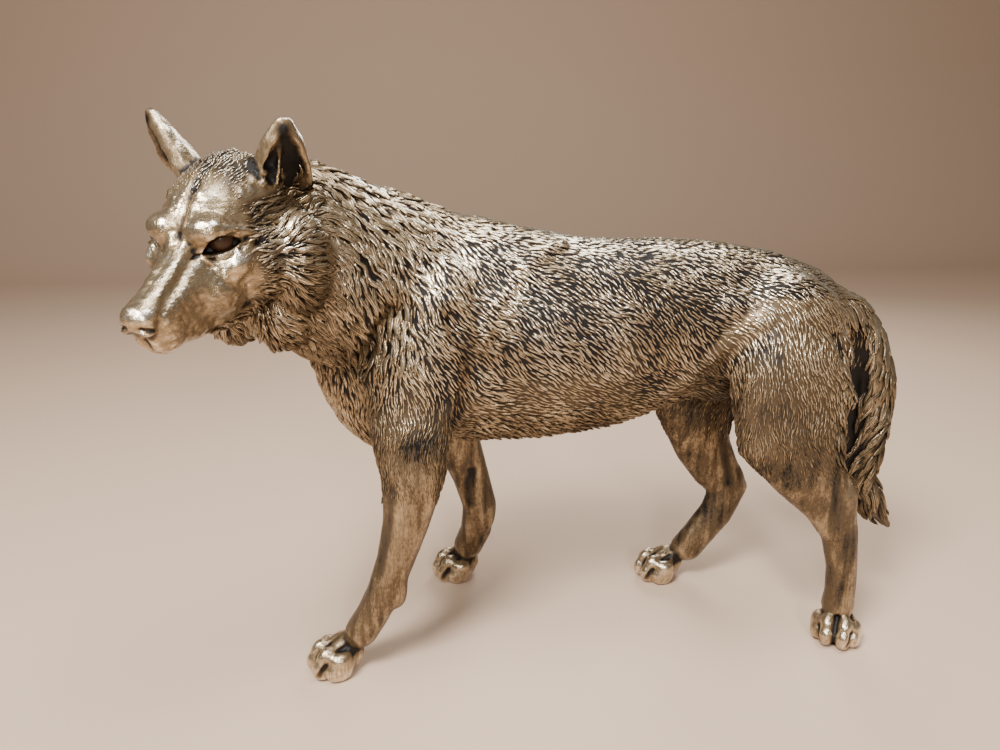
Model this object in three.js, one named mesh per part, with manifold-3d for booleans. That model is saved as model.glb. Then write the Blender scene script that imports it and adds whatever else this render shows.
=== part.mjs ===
// A walking wolf, cast as a decorative figurine and painted in antique gold.
// Millimetres, +Z up. The wolf walks towards -Y and its left side is +X.
// It stands on the floor z = 0; the origin is the middle of its bounding box, on the floor.
// Every node is a closed solid of the outer shape of the cast coat. Bodies are first built as
// overlapping sweeps and lumps, then parted from their neighbours by an even gap.

import * as THREE from 'three';
import { mergeVertices } from 'three/addons/utils/BufferGeometryUtils.js';
import Module from 'manifold-3d';

const wasm = await Module();
wasm.setup();

// ---------------------------------------------------------------- driving dimensions

const GAP = 0.35;             // clearance between neighbouring nodes
const SOLE_Z = 0;             // level of the four flat soles

const HEAD_AT = [113, -237.5, 310];      // the point between the eyes
const HEAD_YAW = 69.5;                    // head turned to the wolf's left, degrees
const HEAD_PITCH = 13;                   // nose down
const HEAD_ROLL = 4;                     // left ear lowered
const HEAD_LENGTH = 138;                 // nose tip to the back of the skull

const EYE_RADIUS = 7;
const EYE_AT = [14.5, 0.5, 6];           // left eye, in the head's frame
const EAR_LENGTH = 57;
const EAR_ROOT = { left: 22, right: 27 };   // from the middle of the head to each ear's root
const EAR_LEAN = { left: 11, right: 21 };   // how far each tip stands outside its root
const EAR_WALL = 3;

const PAW_LENGTH = 42;
const PAW_WIDTH = 36;
const PAW_HEIGHT = 29;

const LEFT = 1;
const RIGHT = -1;
const UP = new THREE.Vector3(0, 0, 1);
const FORWARD = new THREE.Vector3(0, -1, 0);

// Stations are rows of x, y, z, half width, half depth, in millimetres.

const TRUNK_LINE = [
  [0, -152, 224, 38, 58],
  [0, -122, 234, 48, 78],
  [0, -80, 238, 51, 80],
  [0, -30, 232, 52, 74],
  [0, 10, 233, 50, 69],
  [0, 50, 239, 45, 63],
  [0, 90, 243, 41, 56],
  [0, 130, 241, 40, 50],
  [0, 165, 236, 35, 42],
  [0, 186, 232, 26, 30],
];

const NECK_LINE = [
  [0, -92, 250, 42, 66],
  [8, -132, 266, 42, 64],
  [22, -168, 282, 41, 61],
  [38, -197, 299, 39, 57],
  [56, -218, 311, 34, 48],
];

const FORELEG_LEFT_LINE = [
  [38, -125, 215, 15, 36],
  [46, -129, 176, 16, 29],
  [49, -128, 146, 15, 22],
  [49, -134, 114, 13, 16.5],
  [48, -142, 86, 11.5, 13.5],
  [47, -151, 61, 11.5, 12.5],
  [46, -160, 43, 11.5, 12],
  [44, -169, 28, 12, 12],
];

const FORELEG_RIGHT_LINE = [
  [-38, -108, 215, 15, 36],
  [-46, -103, 176, 16, 28],
  [-51, -93, 138, 13.5, 20],
  [-56, -81, 104, 12, 15.5],
  [-59, -73, 74, 12, 14.5],
  [-63, -76, 50, 11.5, 13.5],
  [-71, -83, 30, 12, 12.5],
];

const HINDLEG_LEFT_LINE = [
  [36, 142, 232, 19, 44],
  [43, 138, 196, 20, 44],
  [48, 138, 164, 17, 41],
  [50, 154, 136, 14, 27],
  [51, 172, 112, 12, 20],
  [52, 182, 88, 10.5, 14],
  [52, 187, 62, 10, 12],
  [51, 189, 40, 10.5, 12],
  [50, 189, 26, 12, 12.5],
];

const HINDLEG_RIGHT_LINE = [
  [-34, 136, 232, 19, 44],
  [-40, 117, 192, 19, 44],
  [-43, 102, 154, 16, 35],
  [-44, 111, 124, 13, 24],
  [-44, 124, 102, 12, 20],
  [-45, 136, 84, 11, 18],
  [-46, 128, 62, 10.5, 15],
  [-47, 112, 40, 11, 14],
  [-52, 105, 26, 12, 14],
];

const TAIL_LINE = [
  [1, 176, 252, 14, 15],
  [3, 198, 243, 16, 15],
  [5, 213, 221, 16.5, 16],
  [6, 222, 190, 16, 16],
  [6, 224, 158, 15, 15.5],
  [6, 224, 133, 13, 13],
  [6, 224, 110, 10, 10],
  [6, 233, 88, 8, 8.5],
  [6, 247, 72, 6.5, 6.5],
  [6, 256, 64, 4, 4],
];

// ---------------------------------------------------------------- shape helpers

const radians = THREE.MathUtils.degToRad;

// Turn a three.js geometry into a manifold solid.
function solid(geometry) {
  geometry.deleteAttribute('normal');
  geometry.deleteAttribute('uv');
  const merged = mergeVertices(geometry);
  return new wasm.Manifold(new wasm.Mesh({
    numProp: 3,
    vertProperties: new Float32Array(merged.attributes.position.array),
    triVerts: new Uint32Array(merged.index.array),
  }));
}

// Turn a manifold solid back into a three.js geometry.
function geometryOf(body) {
  const mesh = body.getMesh();
  const geometry = new THREE.BufferGeometry();
  const places = new Float32Array(mesh.numVert * 3);
  for (let i = 0; i < mesh.numVert; i += 1) {
    places.set(mesh.vertProperties.subarray(i * mesh.numProp, i * mesh.numProp + 3), i * 3);
  }
  geometry.setAttribute('position', new THREE.BufferAttribute(places, 3));
  geometry.setIndex(new THREE.BufferAttribute(new Uint32Array(mesh.triVerts), 1));
  geometry.computeVertexNormals();
  return geometry;
}

const join = (bodies) => bodies.reduce((whole, next) => whole.add(next));
const cut = (body, tools) => tools.reduce((rest, tool) => rest.subtract(tool), body);

const turned = (turn) => new THREE.Matrix4().makeRotationFromEuler(new THREE.Euler(...turn.map(radians)));

// An ellipsoid of three radii, turned by degrees about its own X, Y and Z.
function lump(centre, radii, grow = 0, turn = [0, 0, 0]) {
  const reach = Math.max(...radii);
  const facets = reach < 20 ? 8 : reach < 32 ? 10 : 12;
  const ball = new THREE.SphereGeometry(1, facets, facets * 0.6);
  ball.rotateX(Math.PI / 2);
  ball.scale(...radii.map((radius) => radius + grow));
  ball.applyMatrix4(turned(turn));
  ball.translate(...centre);
  return solid(ball);
}

// A closed body swept smoothly through stations, rounded over at both ends.
// The depth of a station is measured along 'facing', its width square to that.
function sweep(stations, facing, grow = 0, sides = 16, steps = 1) {
  const places = stations.map(([x, y, z]) => new THREE.Vector3(x, y, z));
  const sizes = stations.map(([, , , wide, deep]) => new THREE.Vector3(wide, deep, 0));
  const path = new THREE.CatmullRomCurve3(places);
  const size = new THREE.CatmullRomCurve3(sizes);
  const capSteps = 2;
  const rings = [];

  const ringAt = (t, shrink, push) => {
    const along = path.getTangent(t);
    const across = new THREE.Vector3().crossVectors(facing, along).normalize();
    const outward = new THREE.Vector3().crossVectors(along, across);
    const half = size.getPoint(t);
    const reach = 0.8 * Math.min(half.x, half.y) + grow;
    const centre = path.getPoint(t).addScaledVector(along, reach * push);
    const ring = [];
    for (let side = 0; side < sides; side += 1) {
      const angle = (2 * Math.PI * side) / sides;
      ring.push(centre.clone()
        .addScaledVector(across, (half.x + grow) * shrink * Math.cos(angle))
        .addScaledVector(outward, (half.y + grow) * shrink * Math.sin(angle)));
    }
    return ring;
  };

  for (let cap = capSteps; cap > 0; cap -= 1) {
    const turn = (0.92 * Math.PI * cap) / (2 * capSteps);
    rings.push(ringAt(0, Math.cos(turn), -Math.sin(turn)));
  }
  const count = (stations.length - 1) * steps;
  for (let ring = 0; ring <= count; ring += 1) rings.push(ringAt(ring / count, 1, 0));
  for (let cap = 1; cap <= capSteps; cap += 1) {
    const turn = (0.92 * Math.PI * cap) / (2 * capSteps);
    rings.push(ringAt(1, Math.cos(turn), Math.sin(turn)));
  }

  const centreOf = (ring) => ring
    .reduce((sum, point) => sum.add(point), new THREE.Vector3())
    .divideScalar(sides);
  const points = rings.flat();
  points.push(centreOf(rings[0]), centreOf(rings.at(-1)));
  const faces = [];
  for (let ring = 0; ring < rings.length - 1; ring += 1) {
    for (let side = 0; side < sides; side += 1) {
      const next = (side + 1) % sides;
      const [a, b] = [ring * sides + side, ring * sides + next];
      faces.push(a, b, b + sides, a, b + sides, a + sides);
    }
  }
  const last = (rings.length - 1) * sides;
  for (let side = 0; side < sides; side += 1) {
    const next = (side + 1) % sides;
    faces.push(points.length - 2, next, side);
    faces.push(points.length - 1, last + side, last + next);
  }
  const geometry = new THREE.BufferGeometry();
  geometry.setFromPoints(points);
  geometry.setIndex(faces);
  return solid(geometry);
}

// Everything on one side of a plane, as a large block.
function halfSpace(point, towards) {
  const reach = 1200;
  const block = new THREE.BoxGeometry(reach, reach, reach);
  block.translate(0, 0, reach / 2);
  const turn = new THREE.Quaternion().setFromUnitVectors(UP, new THREE.Vector3(...towards).normalize());
  block.applyQuaternion(turn);
  block.translate(...point);
  return solid(block);
}

// ---------------------------------------------------------------- head

const headFrame = new THREE.Matrix4().compose(
  new THREE.Vector3(...HEAD_AT),
  new THREE.Quaternion().setFromEuler(
    new THREE.Euler(radians(HEAD_PITCH), radians(HEAD_ROLL), radians(HEAD_YAW), 'ZXY'),
  ),
  new THREE.Vector3(1, 1, 1).multiplyScalar(HEAD_LENGTH / 138),
);
const inPlace = (body) => body.transform(headFrame.elements);

// From the back of the skull over the brow and down the muzzle to the nose.
const SKULL_LINE = [
  [0, 66, 3, 26, 26],
  [0, 46, 4, 32, 37],
  [0, 24, 3, 29, 35],
  [0, 5, -3, 25, 28],
  [0, -9, -12, 18.5, 20],
  [0, -30, -16, 13.5, 14],
  [0, -47, -17, 11.5, 10.5],
  [0, -55.5, -16, 9, 8.5],
];

const JAW_LINE = [
  [0, 14, -38, 20, 10],
  [0, -8, -36.5, 15.5, 8.5],
  [0, -28, -35, 11, 7],
  [0, -42, -33, 8, 5.5],
];

function headBody(grow = 0) {
  const sides = [LEFT, RIGHT].flatMap((side) => [
    lump([side * 12.5, -2.5, 12.5], [11, 12, 8.5], grow, [0, 0, side * 25]),  // brow
    lump([side * 16, 10, -7], [11, 18, 13], grow, [0, 0, side * 20]),     // cheekbone
    lump([side * 22, 28, -14], [18, 28, 24], grow),                       // cheek
    lump([side * 36, 44, -21], [19, 25, 31], grow, [0, 0, side * 15]),    // ruff
    lump([side * 17, 52, -56], [22, 25, 27], grow),                       // throat ruff
  ]);
  return join([sweep(SKULL_LINE, UP, grow, 16, 2), ...sides]);
}

const jawBody = (grow = 0) => sweep(JAW_LINE, UP, grow, 12);

// A pricked ear: a tapering cup whose hollow faces forwards and a little outwards.
function earBody(side, grow = 0) {
  const facing = new THREE.Vector3(side * 0.66, -0.75, -0.05);
  const word = side === LEFT ? 'left' : 'right';
  const base = [side * EAR_ROOT[word], 51, 2];
  const lean = side * EAR_LEAN[word];
  const rise = (part) => [base[0] + lean * part, base[1] - 2 * part, base[2] + EAR_LENGTH * part];
  const cup = [
    [...rise(0), 21.5, 18],
    [...rise(0.28), 20.5, 16],
    [...rise(0.55), 17, 12],
    [...rise(0.8), 12, 7],
    [...rise(0.97), 5.5, 3.5],
  ];
  const outer = sweep(cup, facing, grow, 14);
  if (grow > 0) return outer;
  const shift = facing.clone().multiplyScalar(EAR_WALL * 2.6);
  const hollow = cup.map(([x, y, z, wide, deep]) => [
    x + shift.x, y + shift.y, z + shift.z - 4, Math.max(wide - EAR_WALL, 1.2), deep,
  ]);
  return outer.subtract(sweep(hollow, facing, 0, 12));
}

const [EYE_X, EYE_Y, EYE_Z] = EYE_AT;
const eyeBall = (side, grow = 0) => lump([side * EYE_X, EYE_Y, EYE_Z], Array(3).fill(EYE_RADIUS), grow);

// The lids leave an almond of the eyeball bare.
function eyeSocket(side) {
  return join([
    eyeBall(side, GAP),
    lump([side * (EYE_X + 4.5), EYE_Y - 6, EYE_Z + 0.5], [8.5, 6, 4.2], 0, [0, 0, side * 38]),
  ]);
}

// ---------------------------------------------------------------- legs and paws

// One foot: a palm and four toes, flat underneath. 'out' turns it away from straight ahead.
function pawBody([x, y], out, grow = 0) {
  const [long, wide, tall] = [PAW_LENGTH / 2, PAW_WIDTH / 2, PAW_HEIGHT / 2];
  const pieces = [
    lump([0, 4, tall - 1], [wide * 0.78, long * 0.72, tall + 1], grow),
    lump([wide * 0.34, -long * 0.55, tall * 0.72], [wide * 0.36, long * 0.5, tall * 0.86], grow),
    lump([-wide * 0.34, -long * 0.55, tall * 0.72], [wide * 0.36, long * 0.5, tall * 0.86], grow),
    lump([wide * 0.72, -long * 0.2, tall * 0.66], [wide * 0.34, long * 0.5, tall * 0.8], grow),
    lump([-wide * 0.72, -long * 0.2, tall * 0.66], [wide * 0.34, long * 0.5, tall * 0.8], grow),
  ];
  const spin = new THREE.Matrix4().makeRotationZ(radians(out));
  spin.setPosition(x, y, 0);
  const foot = join(pieces).transform(spin.elements);
  return grow > 0 ? foot : foot.intersect(halfSpace([0, 0, SOLE_Z], [0, 0, 1]));
}

const FORELEG_LEFT_PAW = [[44, -184], 24];
const FORELEG_RIGHT_PAW = [[-77, -90], 20];
const HINDLEG_LEFT_PAW = [[51, 190], 54];
const HINDLEG_RIGHT_PAW = [[-54, 85], 12];

const legs = {
  foreleg_left: [FORELEG_LEFT_LINE, FORELEG_LEFT_PAW],
  foreleg_right: [FORELEG_RIGHT_LINE, FORELEG_RIGHT_PAW],
  hindleg_left: [HINDLEG_LEFT_LINE, HINDLEG_LEFT_PAW],
  hindleg_right: [HINDLEG_RIGHT_LINE, HINDLEG_RIGHT_PAW],
};

const legBody = (line, grow = 0) => sweep(line, FORWARD, grow, 12);

// ---------------------------------------------------------------- body

const rump = (grow = 0) => [
  lump([28, 134, 236], [26, 48, 44], grow),
  lump([-28, 130, 236], [26, 48, 44], grow),
];
const shoulders = [
  lump([38, -112, 226], [19, 38, 66], 0, [-12, 0, 0]),
  lump([-38, -102, 226], [19, 38, 66], 0, [-6, 0, 0]),
];
const breast = lump([6, -150, 206], [34, 42, 60], 0, [30, 0, 0]);
const trunkBarrel = (grow = 0) => join([sweep(TRUNK_LINE, UP, grow, 18), ...rump(grow)]);
const torso = join([trunkBarrel(), sweep(NECK_LINE, UP, 0, 16), ...shoulders, breast]);

// What each neighbour takes out of the pieces that it runs into, clearance included.
const headSpace = inPlace(headBody(GAP));
const jawSpace = inPlace(jawBody(GAP));
const earSpaces = [LEFT, RIGHT].map((side) => inPlace(earBody(side, GAP)));
const eyeSpaces = [LEFT, RIGHT].map((side) => inPlace(eyeSocket(side)));
const legSpaces = Object.values(legs).map(([line]) => legBody(line, GAP));

// The neck parts from the trunk on a plane from the withers down to the breast.
const PARTING_POINT = [0, -118, 250];
const PARTING_NORMAL = [0.12, -0.86, 0.5];
const partingBack = PARTING_POINT.map((value, axis) => value - PARTING_NORMAL[axis] * GAP);
const frontHalf = halfSpace(PARTING_POINT, PARTING_NORMAL);
const backHalf = halfSpace(partingBack, PARTING_NORMAL.map((value) => -value));
const freeTorso = cut(torso, legSpaces);

const nodes = {
  trunk: freeTorso.intersect(backHalf),
  neck: cut(freeTorso.intersect(frontHalf), [headSpace, jawSpace, ...earSpaces]),
  head: cut(inPlace(headBody()), eyeSpaces),
  lower_jaw: cut(inPlace(jawBody()), [headSpace]),
  tail: cut(sweep(TAIL_LINE, FORWARD, 0, 12), [trunkBarrel(GAP), ...legSpaces]),
};

for (const [side, word] of [[LEFT, 'left'], [RIGHT, 'right']]) {
  nodes[`eye_${word}`] = inPlace(eyeBall(side));
  nodes[`ear_${word}`] = cut(inPlace(earBody(side)), [headSpace]);
}

for (const [name, [line, [place, out]]] of Object.entries(legs)) {
  nodes[name] = cut(legBody(line), [pawBody(place, out, GAP)]);
  nodes[name.replace('leg', 'paw')] = pawBody(place, out);
}

// ---------------------------------------------------------------- scene graph

const castGold = { color: 0x9c7c45, roughness: 0.38, metalness: 0.9 };
const eyeBrown = { color: 0x4a3420, roughness: 0.22, metalness: 0.4 };

const wolf = new THREE.Group();
for (const [name, body] of Object.entries(nodes)) {
  const look = name.startsWith('eye') ? eyeBrown : castGold;
  const mesh = new THREE.Mesh(geometryOf(body), new THREE.MeshStandardMaterial(look));
  mesh.name = name;
  wolf.add(mesh);
}

// Bring the middle of the bounding box over the origin.
const middle = new THREE.Box3().setFromObject(wolf).getCenter(new THREE.Vector3());
for (const mesh of wolf.children) mesh.position.set(-middle.x, -middle.y, 0);

export default wolf;
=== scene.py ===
# %% [markdown]
# # A walking wolf, cast and painted in antique gold
#
# The figurine is one casting: a smooth body, a coat of modelled hair and two eyes.
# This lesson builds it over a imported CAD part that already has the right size. The CAD
# pieces are plain closed solids, parted by thin seams. They are used as the armature
# that a sculptor would build first, and everything that shows is made here.
#
# All lengths are metres. The wolf walks towards -Y, its left side is +X, and it
# stands on the floor at z = 0.

# %% The CAD frame
import math

import bmesh
import bpy
import numpy as np
import openvdb
from mathutils import Euler, Matrix, Vector
from mathutils.bvhtree import BVHTree
from mathutils.kdtree import KDTree


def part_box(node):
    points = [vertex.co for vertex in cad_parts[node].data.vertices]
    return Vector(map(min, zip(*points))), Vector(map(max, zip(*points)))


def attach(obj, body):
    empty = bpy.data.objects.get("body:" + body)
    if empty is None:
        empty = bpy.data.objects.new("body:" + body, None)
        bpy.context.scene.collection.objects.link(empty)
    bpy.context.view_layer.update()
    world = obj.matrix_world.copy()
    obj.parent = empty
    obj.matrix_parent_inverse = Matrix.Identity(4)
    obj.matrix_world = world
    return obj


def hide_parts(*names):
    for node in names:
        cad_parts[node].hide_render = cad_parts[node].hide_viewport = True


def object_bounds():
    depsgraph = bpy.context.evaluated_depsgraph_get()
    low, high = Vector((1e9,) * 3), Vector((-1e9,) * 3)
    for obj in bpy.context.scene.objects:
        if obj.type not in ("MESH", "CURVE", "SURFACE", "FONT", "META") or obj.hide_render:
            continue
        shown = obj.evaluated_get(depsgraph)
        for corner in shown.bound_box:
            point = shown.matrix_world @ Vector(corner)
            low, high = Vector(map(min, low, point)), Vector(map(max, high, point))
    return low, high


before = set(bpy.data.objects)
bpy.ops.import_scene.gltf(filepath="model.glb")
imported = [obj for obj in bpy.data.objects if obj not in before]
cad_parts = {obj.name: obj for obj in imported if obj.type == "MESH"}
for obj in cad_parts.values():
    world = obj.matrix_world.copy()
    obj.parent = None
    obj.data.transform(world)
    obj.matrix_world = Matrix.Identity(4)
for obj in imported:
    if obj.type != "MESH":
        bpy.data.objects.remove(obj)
cad_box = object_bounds()
MM = 0.001
SEED = 7
print("CAD box", [[round(value, 4) for value in corner] for corner in cad_box])

# %% [markdown]
# ## The armature: all the solids as one volume
#
# The casting has no seams, but the CAD solids do. Joining them with Boolean modifiers
# keeps every facet and leaves sharp creases. A signed distance volume is kinder: each
# voxel stores how far it is from the surface, negative inside. Volumes can be joined,
# blurred, carved and swollen with plain arithmetic, as clay can. OpenVDB comes with
# Blender and turns a mesh into such a volume.
#
# The thin seams are closed first: the surface is pushed outwards by more than half a
# seam, made a mesh again, and let back by the same amount.

# %% Reading the solids
EYES = ("eye_left", "eye_right")
flesh_nodes = [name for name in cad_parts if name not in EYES]


def solid_of(name):
    """The corners and triangles of one CAD solid, in the shared frame."""
    corners, triangles, count = [], [], 0
    for piece in [thing for thing in bpy.data.objects if thing.type == "MESH" and thing.name == name]:
        mesh = piece.data
        place = np.empty(len(mesh.vertices) * 3, np.float32)
        mesh.vertices.foreach_get("co", place)
        matrix = np.array(piece.matrix_world, np.float32)
        corners.append(place.reshape(-1, 3) @ matrix[:3, :3].T + matrix[:3, 3])
        mesh.calc_loop_triangles()
        index = np.empty(len(mesh.loop_triangles) * 3, np.int32)
        mesh.loop_triangles.foreach_get("vertices", index)
        triangles.append(index.reshape(-1, 3) + count)
        count += len(corners[-1])
    return np.concatenate(corners), np.concatenate(triangles)


solids = {name: solid_of(name) for name in (*flesh_nodes, *EYES)}
print({name: len(triangles) for name, (_, triangles) in solids.items()})


# %% A volume with a place and a step
def smoothstep(value, low, high):
    """0 below low, 1 above high, and an even S between."""
    part = np.clip((value - low) / (high - low), 0, 1)
    return part * part * (3 - 2 * part)


class Volume:
    """A block of distances, read between its voxels by straight-line mixing."""

    def __init__(self, block, corner, step):
        self.block = block
        self.corner = np.asarray(corner, np.float32)
        self.step = step

    def at(self, points):
        place = (points - self.corner) / self.step
        limit = np.array(self.block.shape) - 1.001
        place = np.clip(place, 0, limit)
        low = place.astype(np.int32)
        part = (place - low).astype(np.float32)
        total = 0
        for corner in range(8):
            side = np.array([corner & 1, corner >> 1 & 1, corner >> 2 & 1])
            weight = np.where(side, part, 1 - part).prod(axis=1)
            index = low + side
            total = total + weight * self.block[index[:, 0], index[:, 1], index[:, 2]]
        return total

    def places(self):
        """Every voxel's place, as one long list."""
        axes = [self.corner[axis] + self.step * np.arange(size, dtype=np.float32)
                for axis, size in enumerate(self.block.shape)]
        return np.stack(np.meshgrid(*axes, indexing="ij"), axis=-1).reshape(-1, 3)


def blurred(block, passes):
    """Each pass mixes a voxel with its neighbours along the three axes in turn."""
    block = block.copy()
    for _ in range(passes):
        for axis in range(3):
            line = np.moveaxis(block, axis, 0)
            middle = 0.25 * (line[:-2] + line[2:]) + 0.5 * line[1:-1]
            line[1:-1] = middle
    return block


# %% Closing the seams and filling the volume
SEAM_CLOSING = 1.2 * MM


def cells(low, high, step):
    """The first cell of a block from low to high, and how many cells it has each way."""
    first = np.floor(np.array(low) / step).astype(int)
    return first, np.ceil(np.array(high) / step).astype(int) - first + 1


def armature(names, low, high, step, band):
    """A signed distance volume of these solids inside the box low to high."""
    corners, triangles, count = [], [], 0
    for name in names:
        place, index = solids[name]
        near = (place > np.array(low) - 3 * band) & (place < np.array(high) + 3 * band)
        if not near.all(axis=1).any():
            continue
        corners.append(place)
        triangles.append(index + count)
        count += len(place)
    transform = openvdb.createLinearTransform(step)
    raw = openvdb.FloatGrid.createLevelSetFromPolygons(
        np.concatenate(corners).astype(np.float32),
        triangles=np.concatenate(triangles).astype(np.uint32),
        transform=transform,
        halfWidth=4,
    )
    place, tri, quads = raw.convertToPolygons(isovalue=SEAM_CLOSING)
    closed = openvdb.FloatGrid.createLevelSetFromPolygons(
        place, triangles=tri, quads=quads, transform=transform, halfWidth=band / step,
    )
    first, size = cells(low, high, step)
    block = np.zeros(size, np.float32)
    closed.copyToArray(block, ijk=tuple(int(value) for value in first))
    return Volume(block + SEAM_CLOSING, first * step, step)


BODY_STEP = 2.0 * MM
low, high = np.array(cad_box[0]) - 0.012, np.array(cad_box[1]) + 0.012
body = armature((*flesh_nodes, *EYES), low, high, BODY_STEP, 16 * MM)
print("body volume", body.block.shape, "least distance", body.block.min())

# %% [markdown]
# ## Clay tools
#
# A distance volume is carved with simple shapes that are distances too. The smaller of
# two distances joins two shapes, and the larger of one and the other's negative cuts.
# Rounding that choice over a few millimetres gives the soft joins of modelling clay.

# %% Soft joins, cuts and simple shapes
def joined(one, other, soft):
    """Two shapes run together, with a fillet about as wide as soft."""
    blend = np.clip(soft - np.abs(one - other), 0, None) / soft
    return np.minimum(one, other) - blend * blend * soft * 0.25


def carved(one, other, soft):
    """The first shape with the second cut out of it, the edge rounded."""
    return -joined(-one, other, soft)


def turned(points, centre, turn):
    """Points seen from a centre, with degrees of turn about X, Y and Z undone."""
    spin = np.array(Euler([math.radians(value) for value in turn]).to_matrix(), np.float32)
    return (points - np.asarray(centre, np.float32)) @ spin


def ball(points, centre, radii, turn=(0, 0, 0)):
    """Distance to an ellipsoid, close to true near its surface."""
    radii = np.asarray(radii, np.float32)
    local = turned(points, centre, turn) / radii
    size = np.linalg.norm(local, axis=1)
    slope = np.linalg.norm(local / radii, axis=1)
    return size * (size - 1) / np.maximum(slope, 1e-6)


def rod(points, start, end, thick_start, thick_end):
    """Distance to a rod with round ends that may taper."""
    start, end = np.asarray(start, np.float32), np.asarray(end, np.float32)
    axis = end - start
    part = np.clip((points - start) @ axis / (axis @ axis), 0, 1)
    away = np.linalg.norm(points - start - part[:, None] * axis, axis=1)
    return away - (thick_start + (thick_end - thick_start) * part)


def waves(points, size, seed):
    """A gentle random field between about -1 and 1, with lumps about this size."""
    maker = np.random.default_rng(seed)
    total = np.zeros(len(points))
    for _ in range(14):
        way = maker.normal(size=3)
        way *= 2 * math.pi / size * maker.uniform(0.6, 1.5) / np.linalg.norm(way)
        total += np.sin(points @ way + maker.uniform(0, 2 * math.pi))
    return total / 3.7


def along(points, stops):
    """The least distance to a line through these stops, and how far along it that is, 0 to 1."""
    best = np.full(len(points), 1e9, np.float32)
    where = np.zeros(len(points), np.float32)
    for index, (start, end) in enumerate(zip(stops, stops[1:])):
        start, end = np.asarray(start, np.float32), np.asarray(end, np.float32)
        axis = end - start
        part = np.clip((points - start) @ axis / (axis @ axis), 0, 1)
        away = np.linalg.norm(points - start - part[:, None] * axis, axis=1)
        nearer = away < best
        best = np.where(nearer, away, best)
        where = np.where(nearer, (index + part) / (len(stops) - 1), where)
    return best, where


def folded(points):
    """Points with x made positive, so that every tool works on the left and the right."""
    return (np.abs(points) * (1, 0, 0) + points * (0, 1, 1)).astype(np.float32)


def with_lines(clay, points, lines):
    """Round lines of clay laid on, or cut out where the thickness is below 0."""
    for thick, soft, stops in lines:
        line, _ = along(points, stops)
        tool = joined if thick > 0 else carved
        clay = tool(clay, line - abs(thick), soft)
    return clay


def with_balls(clay, points, balls):
    """Balls of clay laid on, or cut out where the softness is below 0."""
    for soft, centre, radii, *turn in balls:
        tool = joined if soft > 0 else carved
        clay = tool(clay, ball(points, centre, radii, *turn), abs(soft))
    return clay


# %% [markdown]
# ## The head's own axes
#
# The head is turned far to the left and a little down, so it is easier to model in its
# own axes: x to its left, y to the back, z up, in millimetres, from a point between the
# eyes. The two CAD eyeballs give the place. The turn is three angles.

# %% The head's frame
HEAD_YAW, HEAD_PITCH, HEAD_ROLL = 69.5, 13, 4
EYE_AT = np.array([14.5, 0.5, 6])

head_turn = np.array(
    Euler([math.radians(HEAD_PITCH), math.radians(HEAD_ROLL), math.radians(HEAD_YAW)], "YXZ").to_matrix()
)
eye_middles = {name: sum(np.array(corner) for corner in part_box(name)) / 2 for name in EYES}
between_eyes = sum(eye_middles.values()) / 2
head_place = between_eyes - head_turn @ (np.array([0, EYE_AT[1], EYE_AT[2]]) * MM)


def to_head(points):
    return ((points - head_place) @ head_turn / MM).astype(np.float32)


print("left eye in the head's axes", to_head(eye_middles["eye_left"][None])[0].round(2))

# %% [markdown]
# ## Modelling the head
#
# A wolf's face reads through a few forms: two brow bumps with a groove between them, a
# flat-topped bridge of the nose with a valley on each side, sloping eyes under a heavy
# fold, whisker pads over a long lip, and a leathery nose. Each is one clay tool below.
# The face is symmetrical, so x is folded to the left half and every tool works twice.

# %% The eye's own directions
eye_look = np.array([0.55, -0.80, 0.20])
eye_look /= np.linalg.norm(eye_look)
eye_slant = np.array([0.78, 0.59, 0.19])
eye_slant -= eye_slant @ eye_look * eye_look
eye_slant /= np.linalg.norm(eye_slant)
eye_rise = np.cross(eye_look, eye_slant)


def lid_edge(points):
    """Under 0 inside the almond between the lids, and how far in front of the eye's middle."""
    away = points - EYE_AT
    stretched = 1.2 * (away @ eye_slant) + 1.2
    rise = away @ eye_rise
    stations = [-12, -8, -4, 0, 4, 9, 14]
    upper = np.interp(stretched, stations, [-3.4, -0.6, 2.0, 2.6, 1.8, -0.6, -3.2])
    lower = np.interp(stretched, stations, [-3.2, -4.3, -5.0, -5.4, -5.3, -4.6, -3.3])
    gap = np.maximum(rise - upper, lower - rise) * 0.8
    return gap, away @ eye_look


# %% The face
EYE_LINES = [
    (2.1, 3, [(17.2, -8, 15.2), (21.4, -2, 13.6), (23.2, 5, 10.6), (26.6, 11, 7.6), (30, 16, 4)]),
    (1.9, 1.8, [(26.4, 11, 3), (24.6, 5, 0.9), (22.2, -1.2, -1), (19.4, -6.5, -3.6), (17.4, -9.4, -5.9)]),
    (0.9, 1.5, [(13.4, -14, 1.2), (15.6, -12, -2.4), (17.4, -9.4, -5.9)]),
    (1.2, 1.2, [
        (13.4, -13.2, 2.5), (16.4, -10.6, 1.4), (20.6, -4.2, 1.2), (23.6, 2.6, 2.6), (25.6, 9.4, 4.4),
    ]),
    (-0.4, 1.4, [(25.6, 5.2, 3.0), (24.6, 1.8, 2.0), (22.4, -3.4, 0.6), (20.2, -7, -0.3)]),
]


def eye_clay(fold, clay):
    """The brow's fold, the bag below the eye, its inner corner, the upper lid and the slot."""
    clay = with_lines(clay, fold, EYE_LINES)
    gap, depth = lid_edge(fold)
    return carved(clay, np.maximum(gap, 0.5 - depth), 0.9)


LIP_LINE = [
    (1.0, -54, -35.5), (6, -51, -39), (10.5, -42, -41), (12, -30, -39.6), (12.5, -19, -38.2), (15, -6, -40),
]
NOSE_VALLEY = [
    (9.4, -16, 4.2), (9.2, -24, -0.6), (9.4, -34, -5.4), (9.7, -44, -9.6), (10.4, -51, -14), (10, -54.5, -19),
]
FOREHEAD_GROOVE = [
    (0, -16.5, 8.5), (0, -11.7, 17.5), (0, -5.2, 24), (0, 3, 29.6), (0, 13.6, 35.2), (0, 27, 39.6),
]


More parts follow.
